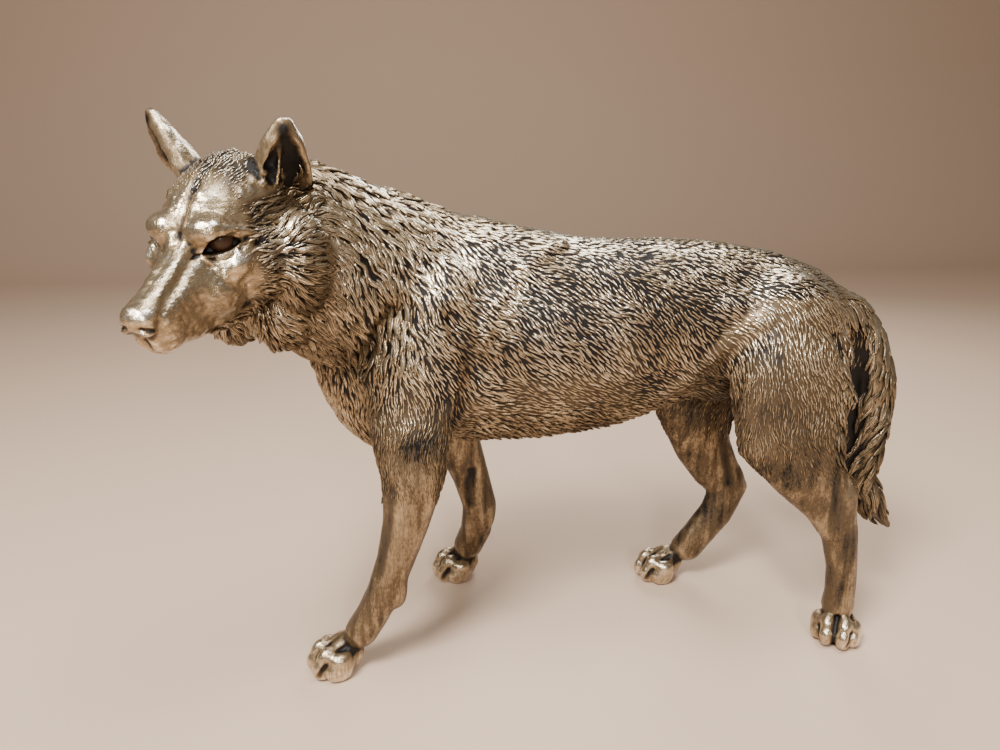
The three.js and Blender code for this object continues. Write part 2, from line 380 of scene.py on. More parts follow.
def muzzle_clay(fold, clay):
    """The whisker pads, the bridge of the nose, the lips and the nose."""
    clay = with_balls(clay, fold, [
        (4, (4.8, -42, -26.5), (7.6, 12.5, 12), (-8, 0, -6)), (5, (5.6, -24, -27), (8, 16, 11.5), (0, 0, -4)),
        (3, (0, -40, -36), (6, 9, 5)),
    ])
    clay = with_lines(clay, fold, [(5.8, 3, [(1.6, -14, 2.2), (1.4, -52, -13.6)])])
    valley, part = along(fold, NOSE_VALLEY)
    clay = carved(clay, valley - (0.2 + 0.6 * smoothstep(part, 0, 0.3)), 4.0)
    clay = with_balls(clay, fold, [(2, (0, -56, -14.8), (8.2, 6.2, 6), (16, 0, 0))])
    lip, part = along(fold, LIP_LINE)
    clay = carved(clay, lip - (0.5 + 0.9 * part), 1.5)
    clay = with_lines(clay, fold, [
        (-0.7, 1.6, [(5.5, -55.5, -27), (10, -50, -31.5), (12.6, -42, -31), (13, -35, -27.5)]),
        (-0.6, 1.4, [(6.5, -53.5, -31), (10.5, -47.5, -35), (13, -39, -34.4), (13.5, -31, -31)]),
    ])
    clay = with_balls(clay, fold, [
        (3, (5.6, -57.4, -20.2), (3.4, 3.6, 3.2)), (-1, (4.2, -61.8, -18.6), (1.6, 2.6, 1.3), (0, 0, -25)),
    ])
    clay = carved(clay, rod(fold, (5.2, -61.2, -18.8), (9.4, -56.5, -19.6), 0.9, 0.5), 1)
    return with_lines(clay, fold, [
        (-0.7, 1.6, [(1, -61, -25.5), (5, -58.5, -26.5), (9.5, -55, -23.5)]),
        (-0.7, 1.6, [(0, -62.5, -20.5), (0, -57, -33)]),
    ])


EAR_ROOT = {1: 22, -1: 27}
EAR_LEAN = {1: 11, -1: 21}


def ear_fold(points):
    """The ears lean differently, so the right one is shifted to where the left one is."""
    part = (points[:, 2] - 2) / 57
    right = np.where(points[:, 0] < 0, 1, 0)
    shift = right * (EAR_ROOT[1] - EAR_ROOT[-1] + (EAR_LEAN[1] - EAR_LEAN[-1]) * part)
    fold = points.copy()
    fold[:, 0] = np.abs(points[:, 0]) + shift
    return fold


def ear_clay(points, clay):
    """A fold inside the cup of the ear, and the left ear's small bulges at its opening."""
    fold = ear_fold(points)
    clay = with_lines(clay, fold, [(1.2, 2.5, [(30.5, 47.5, 50), (28.4, 47.5, 38), (27.4, 43.5, 25)])])
    left = points[:, 0] > 0
    bulges = [(1.5, centre, (2.2, 3.4, 2.4)) for centre in ((22.8, 38.4, 31.5), (23.4, 35.4, 26.8))]
    clay[left] = with_balls(clay[left], fold[left], bulges)
    return clay


def face_clay(points, base):
    """The head's distance with every form of the face worked into it."""
    fold = folded(points)
    clay = with_balls(base, fold, [
        (5, (20, 4, -6), (9.5, 13, 9), (0, 0, 20)), (7, (11.5, 1, -20), (12.5, 22, 15), (0, 0, 12)),
        (5, (11.2, -7.2, 13.2), (7.8, 7.4, 6.4), (0, 0, 20)),
    ])
    groove, part = along(fold, FOREHEAD_GROOVE)
    clay = carved(clay, groove - (2.4 - 1.6 * smoothstep(part, 0.7, 1)), 2.6)
    under_brow = [(3.4, -14.6, 14.6), (6.2, -16.8, 9.6), (10.2, -16.6, 5.8), (13.4, -15, 5)]
    clay = with_lines(clay, fold, [(-1.3, 2.4, under_brow)])
    clay = with_balls(clay, fold, [(-3, (21.5, -12.8, 2), (8, 6.5, 6.2), (0, 0, 38))])
    clay = muzzle_clay(fold, eye_clay(fold, clay))
    return ear_clay(points, clay) + 0.16 * waves(points, 9, 61) + 0.07 * waves(points, 4, 62)

# %% The head's base, blurred less on the thin ears
HEAD_STEP = 0.9 * MM


def ears_of(points):
    """1 on the ears, 0 below their roots, so that their thin walls are blurred less."""
    return smoothstep(points[:, 2], 20, 30)


def fine_base(names, room, step, *passes):
    """Volumes around some nodes, blurred by different numbers of passes."""
    corners = np.concatenate([solids[name][0] for name in names])
    low, high = corners.min(axis=0) - room, corners.max(axis=0) + room
    raw = armature((*flesh_nodes, *EYES), low, high, step, 10 * MM)
    return [Volume(blurred(raw.block, count), raw.corner, step) for count in passes]


head_smooth, head_crisp = fine_base(("head", "lower_jaw", "ear_left", "ear_right"), 0.012, HEAD_STEP, 6, 1)
print("head volume", head_smooth.block.shape)

# %% [markdown]
# ## Modelling the paws
#
# Each paw is a palm and four toes, pressed together. The CAD solid gives their bulk. The
# clay tools sink the grooves between the toes, which hold the dark wax of the finish, and
# raise the knuckles, which catch the gold. A paw's own axes are x across, y to the
# heel and z up, in millimetres, from the middle of the palm.

# %% The paws
PAW_TURN = {"forepaw_left": 24, "forepaw_right": 20, "hindpaw_left": 54, "hindpaw_right": 12}
TOE_REACH = 22.0 * MM
PAW_STEP = 0.9 * MM


def paw_axes(name):
    """Where a paw is, and the directions across it and to its heel."""
    turn = math.radians(PAW_TURN[name])
    axes = np.array([[math.cos(turn), math.sin(turn), 0], [-math.sin(turn), math.cos(turn), 0], [0, 0, 1]])
    local = solids[name][0] @ axes.T
    middle = [(local[:, 0].min() + local[:, 0].max()) / 2, local[:, 1].min() + TOE_REACH, 0]
    return np.array(middle) @ axes, axes


KNUCKLES_AND_TOES = [
    (5, (5.8, -9.5, 18.5), (4.6, 6, 4.2), (-25, 0, 0)), (5, (13, -3, 14.5), (4.2, 6, 4.0), (-25, 0, 0)),
    (2, (6, -17, 8.5), (5.2, 5.6, 7)), (2, (13, -9, 7.5), (4.8, 6, 6.5)),
]
TOE_GAPS = [
    (-1.2, 3, [(0, -25, 3), (0, -21, 13), (0, -13, 21.5), (0, -2, 26.5)]),
    (-0.8, 3, [(10.4, -22, 2), (10.2, -17, 11), (9.8, -8, 18), (8.6, 3, 23)]),
]
OUTER_GAP = [(-0.8, 3, [(19.5, 2, 1), (18, 3, 8), (14.5, 5, 15), (12, 7, 19)])]


def paw_clay(points, base):
    """Four toes with knuckles, and the grooves between them."""
    fold = folded(points)
    return with_lines(with_balls(base, fold, KNUCKLES_AND_TOES), fold, TOE_GAPS + OUTER_GAP)


paw_bases = {name: fine_base((name,), 0.009, PAW_STEP, 3)[0] for name in PAW_TURN}
paw_places = {name: paw_axes(name) for name in PAW_TURN}
print({name: volume.block.shape for name, volume in paw_bases.items()})

# %% [markdown]
# ## One surface for the whole casting
#
# The head and paws have fine volumes, the rest a coarser one. Near the border of a fine
# volume its say fades out over a few millimetres, so the surface passes from one to
# the other without a step. The body is blurred most, because its solids have the widest
# facets, and the legs less, or they would shrink. The clay tools act on the points that
# are asked for, so their edges stay crisp at any size of mesh.
#
# The body's own forms come first: the shoulder blades, the fold of skin from belly to
# hip, the tendons and hocks, and a web that closes the gap between the tail and the left
# thigh. That web is painted dark further on, as painted shade.

# %% Forms of the body
TRUNK_LOW, TRUNK_HIGH = (np.array(corner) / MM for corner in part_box("trunk"))
MEDIAN = (TRUNK_LOW[0] + TRUNK_HIGH[0]) / 2


def to_body(points):
    """Millimetres: x from the middle of the trunk, y from its front end, z from the floor."""
    return (points / MM - (MEDIAN, TRUNK_LOW[1], 0)).astype(np.float32)


BULGES = [
    (8, (40, 43, 216), (16, 24, 32)), (6, (34, 12, 226), (14, 14, 20)), (5, (45, 63, 194), (10, 10, 14)),
    (8, (9, 262, 200), (15, 22, 20)), (10, (42, 292, 200), (18, 30, 42)), (7, (32, 262, 256), (10, 15, 10)),
]
BODY_LINES = [
    (4.5, 5, [(20, 143, 298), (31, 119, 287), (43, 98, 265), (47, 86, 240)]),
    (4.4, 8, [(43, 276, 247), (35, 256, 229), (31.5, 228, 203), (26, 205, 190), (18, 180, 178)]),
    (-5.0, 6, [(53, 68, 256), (54, 75, 239), (51, 82, 223), (50, 76, 200), (46, 70, 186)]),
    (-4.0, 5, [(50, 262, 215), (46, 262, 195), (40, 262, 175)]),
    (-3.0, 6, [(50, 30, 262), (47, 18, 244), (42, 6, 222)]),
]
# A web filling the gap behind the tail, later painted dark as painted shade, and a slot cut along the thigh.
TAIL_WEB = [
    (9.0, 5, [(9, 360, 246), (8, 368, 205), (7, 371, 165), (6, 372, 124)]),
    (8.0, 5, [(20, 345, 238), (22, 346, 190), (22, 348, 132)]),
    (3.2, 5, [
        (45, 338, 232), (49, 345, 216), (45, 341, 203), (48, 347, 190), (44, 341, 176), (46, 345, 162),
    ]),
    (-3.6, 5, [(49, 333, 234), (50, 338, 226), (49, 345, 213), (45, 354, 200)]),
]
LEG_GROOVES = [
    ("foreleg_left", -1.4, [(60.5, 22, 142), (58.5, 19, 120), (56.5, 15.5, 101), (56.5, 12, 82)]),
    ("foreleg_right", -1.6, [(-43.5, 86, 110), (-44.5, 82, 94), (-47.5, 84, 80)]),
    ("hindleg_left", -1.6, [(63.5, 337, 142), (63, 338, 120), (64, 337, 96)]),
    ("hindleg_right", -1.2, [(-30.5, 290, 138), (-30.5, 294, 118), (-31.5, 298, 106), (-32.5, 299, 94)]),
]
LEG_BUMPS = [
    (7, (51, 25.5, 62), (6, 6, 10)), (7, (-53, 98, 66), (6, 6.5, 10)), (6, (53, 351, 114), (5.5, 6, 10)),
    (6, (-43, 306, 94), (5.5, 6.5, 9)), (8, (8, 385, 126), (8, 10, 24)), (10, (8, 399, 92), (7.5, 8, 15)),
]
GROOVE_SOFT, BAND_OF_LEG = 7, 16


def leg_clay(points, clay):
    """Tendons, wrists and hocks. Each groove is cut on both faces of its leg."""
    for name, thick, stops in LEG_GROOVES:
        corners = solids[name][0] / MM - (MEDIAN, TRUNK_LOW[1], 0)
        middle = [corners[np.abs(corners[:, 2] - stop[2]) < BAND_OF_LEG][:, 0].mean() for stop in stops]
        other = [(2 * centre - x, y, z) for centre, (x, y, z) in zip(middle, stops)]
        clay = with_lines(clay, points, [(thick, GROOVE_SOFT, stops), (thick, GROOVE_SOFT, other)])
    return with_balls(clay, points, LEG_BUMPS)


def body_clay(points, base):
    """Shoulder blades, elbows, the hollow behind them, the flank's fold and the tail's web.

    The right foreleg stands further back than the left and the right hind leg further
    forward, so on that side the tools shift with them, more the lower they are.
    """
    fore = 1 - smoothstep(points[:, 2], 190, 265)
    hind = 1 - smoothstep(points[:, 2], 185, 250)
    shift = np.where(points[:, 1] < 165, -22 * fore, 22 * hind) * (points[:, 0] < 0) * (points[:, 1] < 330)
    fold = np.stack([np.abs(points[:, 0]), points[:, 1] + shift, points[:, 2]], axis=1).astype(np.float32)
    clay = with_lines(with_balls(base, fold, BULGES), fold, BODY_LINES)
    return with_lines(clay, points, TAIL_WEB)


# %% The casting's distance anywhere
body_smooth = Volume(blurred(body.block, 6), body.corner, BODY_STEP)
body_crisp = Volume(blurred(body.block, 1), body.corner, BODY_STEP)


def inside_fade(volume, points, width):
    """1 well inside a volume's box, fading to 0 at its border."""
    low = volume.corner + 2 * volume.step
    high = volume.corner + (np.array(volume.block.shape) - 3) * volume.step
    reach = np.minimum(points - low, high - points).min(axis=1)
    return smoothstep(reach, 0, width)


def casting(points):
    """Distance to the bare casting: negative inside."""
    points = np.asarray(points, np.float32)
    thick = smoothstep(points[:, 2], 0.09, 0.16)
    value = body_smooth.at(points) * thick + body_crisp.at(points) * (1 - thick)
    body_points = to_body(points)
    value = body_clay(body_points, value / MM)
    low_down = points[:, 2] < 0.17
    value[low_down] = leg_clay(body_points[low_down], value[low_down])
    value = value * MM
    share = inside_fade(head_smooth, points, 9 * MM)
    near = share > 0
    spots = points[near]
    local = to_head(spots)
    ear = ears_of(local)
    base = head_smooth.at(spots) * (1 - ear) + head_crisp.at(spots) * ear
    value[near] += share[near] * (face_clay(local, base / MM) * MM - value[near])
    for name, volume in paw_bases.items():
        share = inside_fade(volume, points, 7 * MM)
        near = share > 0
        middle, axes = paw_places[name]
        local = ((points[near] - middle) @ axes.T / MM).astype(np.float32)
        clay = paw_clay(local, volume.at(points[near]) / MM) * MM
        value[near] += share[near] * (clay - value[near])
    return np.maximum(value, -points[:, 2])

# %% [markdown]
# ## The skin's mesh
#
# A coarse net is pulled off the volume first. The ears are too thin for it, so they are
# fattened while the net is made. The net is then refined where the forms are small: once
# on the head, paws and lower legs, twice on the face. At last every corner slides
# down the slope of the true distance until it lies on the surface.

# %% The depth of the coat over the skin
node_trees = {
    name: BVHTree.FromPolygons(solids[name][0].tolist(), solids[name][1].tolist()) for name in flesh_nodes
}
COAT_DEPTH = {"trunk": 1.6, "neck": 2.4, "tail": 2.0, "head": 0.3}
NECK_BACK, TAIL_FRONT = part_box("neck")[1][1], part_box("tail")[0][1]


def coat_depth(points):
    """How far the skin lies inside the casting: most under the mane, least on face and legs."""
    trunk = smoothstep(points[:, 2], 0.15, 0.20)
    neck = smoothstep(points[:, 1], NECK_BACK, NECK_BACK - 0.06)
    tail = smoothstep(points[:, 1], TAIL_FRONT, TAIL_FRONT + 0.02)
    deep = np.zeros(len(points))
    deep += trunk * COAT_DEPTH["trunk"]
    deep += neck * trunk * (COAT_DEPTH["neck"] - COAT_DEPTH["trunk"])
    deep = np.maximum(deep, tail * COAT_DEPTH["tail"])
    local = to_head(points)
    mask = 1 - smoothstep(local[:, 1] + np.abs(local[:, 0]) * 0.6, 26, 48)
    crown = smoothstep(local[:, 2], 14, 24)
    face = np.maximum(mask, crown * (1 - smoothstep(local[:, 1], 58, 70))) * (local[:, 1] > -80)
    face = face * inside_fade(head_smooth, points, 9 * MM)
    return (deep * (1 - face) + COAT_DEPTH["head"] * face) * MM

# %% A net pulled off the volume
NET_STEP = 3.2 * MM
EAR_FAT = 1.6 * MM


def skin_distance(points):
    return casting(points) + coat_depth(points)


def first_net():
    first, size = cells(np.array(cad_box[0]) - 0.01, np.array(cad_box[1]) + 0.01, NET_STEP)
    grid = Volume(np.zeros(size, np.float32), first * NET_STEP, NET_STEP)
    places = grid.places()
    value = body_smooth.at(places).astype(np.float32)
    behind_thighs = np.abs(to_body(places) - (0, 362, 180)).max(axis=1) < 75
    near = (np.abs(value) < 0.015) | (behind_thighs & (np.abs(places[:, 0] - MEDIAN * MM) < 0.035))
    spots = places[near]
    value[near] = skin_distance(spots)
    ear = ears_of(to_head(spots)) * inside_fade(head_smooth, spots, 3 * MM)
    value[near] -= ear * EAR_FAT
    net = openvdb.FloatGrid(0.012)
    net.copyFromArray(value.reshape(size))
    net.transform = openvdb.createLinearTransform(NET_STEP)
    place, quads = net.convertToQuads(0.0)
    place = place + grid.corner
    quads = quads.astype(np.int64)
    across = np.cross(place[quads[:, 2]] - place[quads[:, 0]], place[quads[:, 3]] - place[quads[:, 1]])
    if (across * place[quads[:, 0]]).sum() < 0:
        quads = quads[:, ::-1]
    return place.astype(np.float64), np.concatenate([quads[:, [0, 1, 2]], quads[:, [0, 2, 3]]])


# %% Refining, smoothing and settling the net
def edges_of(triangles):
    """Every edge once, and for each triangle the numbers of its three edges."""
    pairs = np.concatenate([triangles[:, [0, 1]], triangles[:, [1, 2]], triangles[:, [2, 0]]])
    edges, index = np.unique(np.sort(pairs, axis=1), axis=0, return_inverse=True)
    return edges, index.reshape(3, -1).T


def refined(place, triangles, wanted):
    """Triangles whose corners are all wanted are cut in four, and their neighbours to match."""
    edges, sides = edges_of(triangles)
    cut = wanted[edges].all(axis=1)
    fresh = np.full(len(edges), -1)
    fresh[cut] = len(place) + np.arange(cut.sum())
    place = np.concatenate([place, place[edges[cut]].mean(axis=1)])
    middle = fresh[sides]
    count = (middle >= 0).sum(axis=1)
    parts = [triangles[count == 0]]

    # a, b and c are a triangle's corners, and ab, bc and ca are the new ones between them.
    def add(*columns):
        parts.append(np.stack(columns, axis=1))

    (a, b, c), (ab, bc, ca) = triangles[count == 3].T, middle[count == 3].T
    add(a, ab, ca)
    add(b, bc, ab)
    add(c, ca, bc)
    add(ab, bc, ca)
    for turn in range(3):
        order = [(turn + step) % 3 for step in range(3)]
        corner, mids = triangles[:, order], middle[:, order]
        one = (count == 1) & (mids[:, 0] >= 0)
        (a, b, c), ab = corner[one].T, mids[one, 0]
        add(a, ab, c)
        add(ab, b, c)
        two = (count == 2) & (mids[:, 2] < 0)
        (a, b, c), ab, bc = corner[two].T, mids[two, 0], mids[two, 1]
        add(a, ab, c)
        add(ab, bc, c)
        add(ab, b, bc)
    return place, np.concatenate(parts)


def neighbour_mean(values, edges):
    """The mean of each corner's neighbours."""
    total = np.zeros_like(values)
    count = np.bincount(edges.reshape(-1), minlength=len(values))
    for here, there in (edges.T, edges.T[::-1]):
        for axis in range(values.shape[1]):
            total[:, axis] += np.bincount(here, values[there, axis], minlength=len(values))
    return total / np.maximum(count, 1)[:, None]


def slope_of(field, points, reach=0.35 * MM):
    """The direction in which a distance grows fastest, length about 1."""
    columns = []
    for axis in range(3):
        push = np.zeros(3)
        push[axis] = reach
        columns.append((field(points + push) - field(points - push)) / (2 * reach))
    return np.stack(columns, axis=1)


def settled(place, field, rounds, most=1.5 * MM):
    """Corners moved along the slope until the distance there is 0."""
    place = place.copy()
    for _ in range(rounds):
        value = field(place)
        slope = slope_of(field, place)
        steep = np.maximum((slope * slope).sum(axis=1), 0.25)
        move = slope * (value / steep)[:, None]
        length = np.linalg.norm(move, axis=1)
        place -= move * np.minimum(1, most / np.maximum(length, 1e-9))[:, None]
    return place


def facings(place, triangles):
    """A vector square to each triangle, twice its area long."""
    first, second, third = (place[triangles[:, step]] for step in range(3))
    return np.cross(second - first, third - first)


def corner_normals(place, triangles):
    across = facings(place, triangles)
    total = np.zeros_like(place)
    for corner in range(3):
        for axis in range(3):
            total[:, axis] += np.bincount(triangles[:, corner], across[:, axis], minlength=len(place))
    return total / np.maximum(np.linalg.norm(total, axis=1), 1e-12)[:, None]


def relaxed(place, triangles, passes, strength):
    """Corners drawn to their neighbours' mean, but only along the surface."""
    edges, _ = edges_of(triangles)
    for _ in range(passes):
        away = neighbour_mean(place, edges) - place
        normal = corner_normals(place, triangles)
        away -= (away * normal).sum(axis=1)[:, None] * normal
        place = place + strength * away
    return place


# %% The finished skin net
PAW_TOP, LOWER_LEG_TOP = 0.034, 0.122

place, triangles = first_net()
place = settled(relaxed(place, triangles, 6, 0.5), skin_distance, 2)
local = to_head(place)
in_head = inside_fade(head_smooth, place, 3 * MM) > 0.5
paws = place[:, 2] < PAW_TOP
lower_legs = (place[:, 2] < LOWER_LEG_TOP) & (place[:, 1] < TAIL_FRONT)
fine = (in_head & (local[:, 1] < 52)) | paws | lower_legs
place, triangles = refined(place, triangles, fine)
place = settled(relaxed(place, triangles, 2, 0.4), skin_distance, 2)
local = to_head(place)
face = (local[:, 1] < 4) & (local[:, 1] > -75) & (np.abs(local[:, 0]) < 31) & (np.abs(local[:, 2]) < 46)
place, triangles = refined(place, triangles, face)
place = settled(relaxed(place, triangles, 2, 0.4), skin_distance, 2)
place = settled(relaxed(place, triangles, 1, 0.3), skin_distance, 2)
print("skin net", len(place), "corners", len(triangles), "triangles")

# %% [markdown]
# ## Which way the hair lies
#
# Hair on an animal streams from the nose backwards, down the flanks and legs, and out
# to the tip of the tail. Every CAD piece gets a simple rule for that stream. A point on
# the skin mixes the rules of the pieces near it, and the result is smoothed over the net.

# %% The stream for each piece
def node_line(name, count=9):
    """The middle of a tall piece at several heights, lowest first."""
    corners = solids[name][0]
    heights = np.linspace(corners[:, 2].min(), corners[:, 2].max(), count)
    reach = (heights[1] - heights[0]) * 0.9
    return np.array([corners[np.abs(corners[:, 2] - height) < reach].mean(axis=0) for height in heights])


def down_line(name, points):
    """The direction down a leg or the tail, at the height of each point."""
    line = node_line(name)
    steps = line[:-1] - line[1:]
    steps /= np.linalg.norm(steps, axis=1)[:, None]
    middle = (line[:-1, 2] + line[1:, 2]) / 2
    return np.stack([np.interp(points[:, 2], middle, steps[:, axis]) for axis in range(3)], axis=1)


def in_world(local):
    return local @ head_turn.T


def stream_of(name, points, normal):
    """Where hair points on one piece, not yet made to lie on the skin."""
    flank = np.abs(normal[:, 0])
    zero = np.zeros(len(points))
    if name == "trunk":
        shoulder = smoothstep(points[:, 1], -0.10, -0.17)
        thigh = smoothstep(points[:, 1], 0.10, 0.16)
        steep = flank * (0.40 + 0.60 * smoothstep(points[:, 2], 0.17, 0.26))
        steep = steep + flank * (0.5 * shoulder + 0.7 * thigh)
        return np.stack([zero, zero + 1, -steep], axis=1)
    if name == "neck":
        front = smoothstep(normal[:, 1], 0.2, -0.7)
        steep = flank * (1.3 + 1.1 * smoothstep(points[:, 2], 0.34, 0.26)) + 2.2 * front
        return np.stack([0.1 * np.sign(normal[:, 0]), 1 - 0.7 * front, -steep], axis=1)
    if name in ("head", "lower_jaw"):
        local, facing = to_head(points), normal @ head_turn
        side = np.sign(facing[:, 0]) * np.abs(facing[:, 0])
        low = smoothstep(local[:, 2], 14, -30)
        back = smoothstep(local[:, 1], 5, 45)
        stream = np.stack([0.5 * side, zero + 1, 0.25 - (0.45 + 0.7 * back) * low], axis=1)
        return in_world(stream)
    if name.startswith("ear"):
        local = to_head(points)
        return in_world(np.stack([0.25 * np.sign(local[:, 0]), zero, zero + 1], axis=1))
    if "paw" in name:
        _, axes = paw_places[name]
        return np.tile(-axes[1], (len(points), 1)) + [0, 0, -0.5]
    if name == "tail":
        return down_line(name, points) - np.stack([zero, 0.75 * flank, zero], axis=1)
    return down_line(name, points)


def node_shares(points):
    """How near each point is to each piece: 1 on it, fading within a few millimetres."""
    shares = {}
    for name in flesh_nodes:
        low, high = solids[name][0].min(axis=0) - 0.014, solids[name][0].max(axis=0) + 0.014
        near = ((points > low) & (points < high)).all(axis=1)
        share = np.zeros(len(points))
        tree = node_trees[name]
        share[near] = [math.exp(-tree.find_nearest(spot)[3] / 0.004) for spot in points[near].tolist()]
        shares[name] = share
    return shares


def on_skin(vectors, normal):
    """Vectors laid flat on the skin, length 1."""
    flat = vectors - (vectors * normal).sum(axis=1)[:, None] * normal
    return flat / np.maximum(np.linalg.norm(flat, axis=1), 1e-9)[:, None]


normal = corner_normals(place, triangles)
edges, _ = edges_of(triangles)
shares = node_shares(place)
total_share = sum(shares.values())
stream = sum(
    (shares[name] / np.maximum(total_share, 1e-9))[:, None] * on_skin(stream_of(name, place, normal), normal)
    for name in flesh_nodes
)
for _ in range(12):
    stream = 0.5 * stream + 0.5 * neighbour_mean(stream, edges)
share_of = {name: shares[name] / np.maximum(total_share, 1e-9) for name in flesh_nodes}

swirl = 0.20 * waves(place, 0.05, 41) + 0.24 * waves(place, 0.016, 42)
stream = on_skin(stream + swirl[:, None] * np.cross(normal, stream), normal)
print("stream ready for", len(place), "corners")

# %% [markdown]
# ## Where hair grows, and where the gold is rubbed bright
#
# The whole wolf was painted dark, and then gold was brushed over what stands out. So the
# hollows stay nearly black, and the face, paws and backs of the ears are almost all gold.
# These markings are worked out once, for the skin and for the strands rooted in it. The gold number is
# how much gold a place carries, in broad patches and in streaks down the legs, with painted
# shade taken off it: on faces turned down, under the belly and the face, and on the web
# behind the tail.

# %% Markings of the skin
def hollow_depth(passes):
    """How far each corner lies below the mean of its surroundings, in millimetres."""
    mean = place.copy()
    for _ in range(passes):
        mean = neighbour_mean(mean, edges)
    return ((mean - place) * normal).sum(axis=1) / MM


head_local, body_place = to_head(place), to_body(place)
head_fold, body_fold = folded(head_local), folded(body_place)
aside, back, high = head_fold.T
head_share = share_of["head"] + share_of["lower_jaw"]
ear_share = share_of["ear_left"] + share_of["ear_right"]
paw_share = sum(share_of[name] for name in PAW_TURN)
leg_share = sum(share_of[name] for name in flesh_nodes if "leg" in name)
behind = smoothstep(back + 0.55 * aside, 16, 36)
forehead = smoothstep(high - 0.2 * back, 16, 24) * smoothstep(back, 0, 14)
cheek = np.maximum(smoothstep(back + 0.4 * aside, -6, 18) * smoothstep(high, 2, -8), 0.45 * forehead)
crown = smoothstep(high, 16, 26) * smoothstep(back, 2, 24)
low_leg = smoothstep(place[:, 2], 0.19, 0.115)
ear_cup = smoothstep(high, 18, 24) * smoothstep(aside, 15, 21) * (back > 15)

fur = (1 - paw_share) * (1 - ear_cup * (head_share + ear_share)) * (1 - ear_share)
fur = fur * (1 - head_share * (1 - np.maximum(behind, 0.9 * crown)))
fur = fur * (1 - 0.85 * low_leg * np.clip(leg_share * 1.5, 0, 1))
small_forms = (back < 30) & (head_share + ear_share > 0.5) | (paw_share > 0.5)
hollow = np.where(small_forms, hollow_depth(16), hollow_depth(8))
print("fur", fur.mean().round(3), "hollows", np.percentile(hollow, [2, 50, 98]).round(3))

# %% The gold left on the skin, with painted shade
def band(value, middle, width):
    """1 at the middle, fading to 0 on both sides."""
    return 1 - smoothstep(np.abs(value - middle), 0, width)


def patches(spots):
    """Soft round spots on both sides of the body: place, size and strength."""
    return sum(
        strength * np.exp(-(((body_fold - middle) / size) ** 2).sum(axis=1))
        for middle, size, strength in spots
    )


def near_line(points, stops, inner, outer):
    """1 within the inner distance of a line, fading to 0 at the outer one."""
    line, _ = along(points, stops)
    return 1 - smoothstep(line, inner, outer)


DARK_PATCHES = [
    ((40, 221, 259), (18, 20, 14), 0.42), ((52, 76, 228), (12, 8, 24), 0.45),
    ((60, 42, 174), (12, 13, 12), 0.85), ((40, 262, 190), (18, 10, 24), 0.40),
    ((46, 70, 196), (14, 10, 14), 0.40), ((46, 14, 214), (16, 15, 20), 0.40),
]
# The slot beside the left thigh holds wax; the web behind the tail is painted shade. Both are painted only on
# the left side.
thigh_slot = near_line(body_fold, [(49, 334, 232), (50, 339, 224), (49, 346, 212), (40, 356, 190)], 3.6, 6)
tail_slot = near_line(body_fold, [(16, 360, 240), (16, 368, 205), (16, 371, 165), (14, 371, 124)], 9, 15)
slot_wax_and_shade = np.maximum(thigh_slot, tail_slot)
slot_wax_and_shade *= (body_place[:, 0] > 0) * smoothstep(normal[:, 0], -0.5, 0.1)
FLANK_FOLD = [(43, 276, 247), (34.5, 254, 226), (30.5, 229, 204), (26, 207, 189)]
flank_fold = near_line(body_fold, FLANK_FOLD, 7.8, 13)
flank_fold *= smoothstep(body_place[:, 1] + 9 * waves(place, 0.02, 73), 215, 255)

# Brown-gold below: the legs, the lower flank, the thigh's rear half and part of the tail.
warm = smoothstep(place[:, 2] + 0.014 * waves(place, 0.05, 71), 0.235, 0.175)
warm = warm * (share_of["trunk"] + leg_share)
rear = smoothstep(body_place[:, 1] + 8 * waves(place, 0.04, 72), 262, 300) * (body_place[:, 2] < 262)
warm = np.clip(np.maximum(warm, 0.75 * rear) + share_of["tail"] * 0.4, 0, 1)
gold_and_shade = 0.62 + 0.16 * waves(place, 0.055, SEED) + 0.14 * flank_fold - patches(DARK_PATCHES)
# Painted shade: the more a face turns down, the less gold it carries.
gold_and_shade = gold_and_shade * (0.55 + 0.45 * smoothstep(normal[:, 2], -0.7, 0.5))
gold_and_shade += 0.07 * (1 - warm) * share_of["trunk"] - 0.05 * share_of["neck"]
bare = np.clip(1 - fur, 0, 1)
gold_and_shade = gold_and_shade * (1 - bare) + bare * (0.70 + 0.08 * waves(place, 0.03, SEED + 1))
# Painted shade under the trunk: faces turned down on the belly carry less gold.
gold_and_shade -= 0.30 * share_of["trunk"] * smoothstep(normal[:, 2], -0.35, -0.9)
streaks = waves(place * (1, 1, 0.13), 0.0065, 51) + 0.5 * waves(place * (1, 1, 0.25), 0.02, 52)
gold_and_shade -= leg_share * (0.50 + 0.10 * streaks) * smoothstep(place[:, 2], 0.22, 0.14)
gold_and_shade -= 0.22 * paw_share + 0.35 * share_of["tail"] * smoothstep(place[:, 2], 0.12, 0.09)
gold_and_shade -= 0.08 * leg_share * (body_place[:, 1] > 200)
mask = head_share * (1 - behind)
gold_and_shade += mask * (0.06 - 0.10 * waves(head_local * (1, 0.35, 1), 5.5, 74))
# Painted shade under the face: faces turned down carry less gold.
gold_and_shade -= 0.30 * mask * smoothstep(normal[:, 2], 0.45, -0.4)
ear_facing = normal @ head_turn
ear_facing[:, 0] *= np.sign(head_local[:, 0])
inside_ear = ear_share * smoothstep(ear_facing @ np.array([0.3, -1, -0.1]), 0.1, 0.7)
gold_and_shade -= 0.24 * inside_ear
# Wax in the thigh's slot, and painted shade on the web behind the tail, take most of the gold away.
gold_and_shade = np.clip(gold_and_shade * (1 - 0.9 * slot_wax_and_shade), -0.4, 1)
print("gold_and_shade", gold_and_shade.mean().round(3), "warm", warm.mean().round(3))
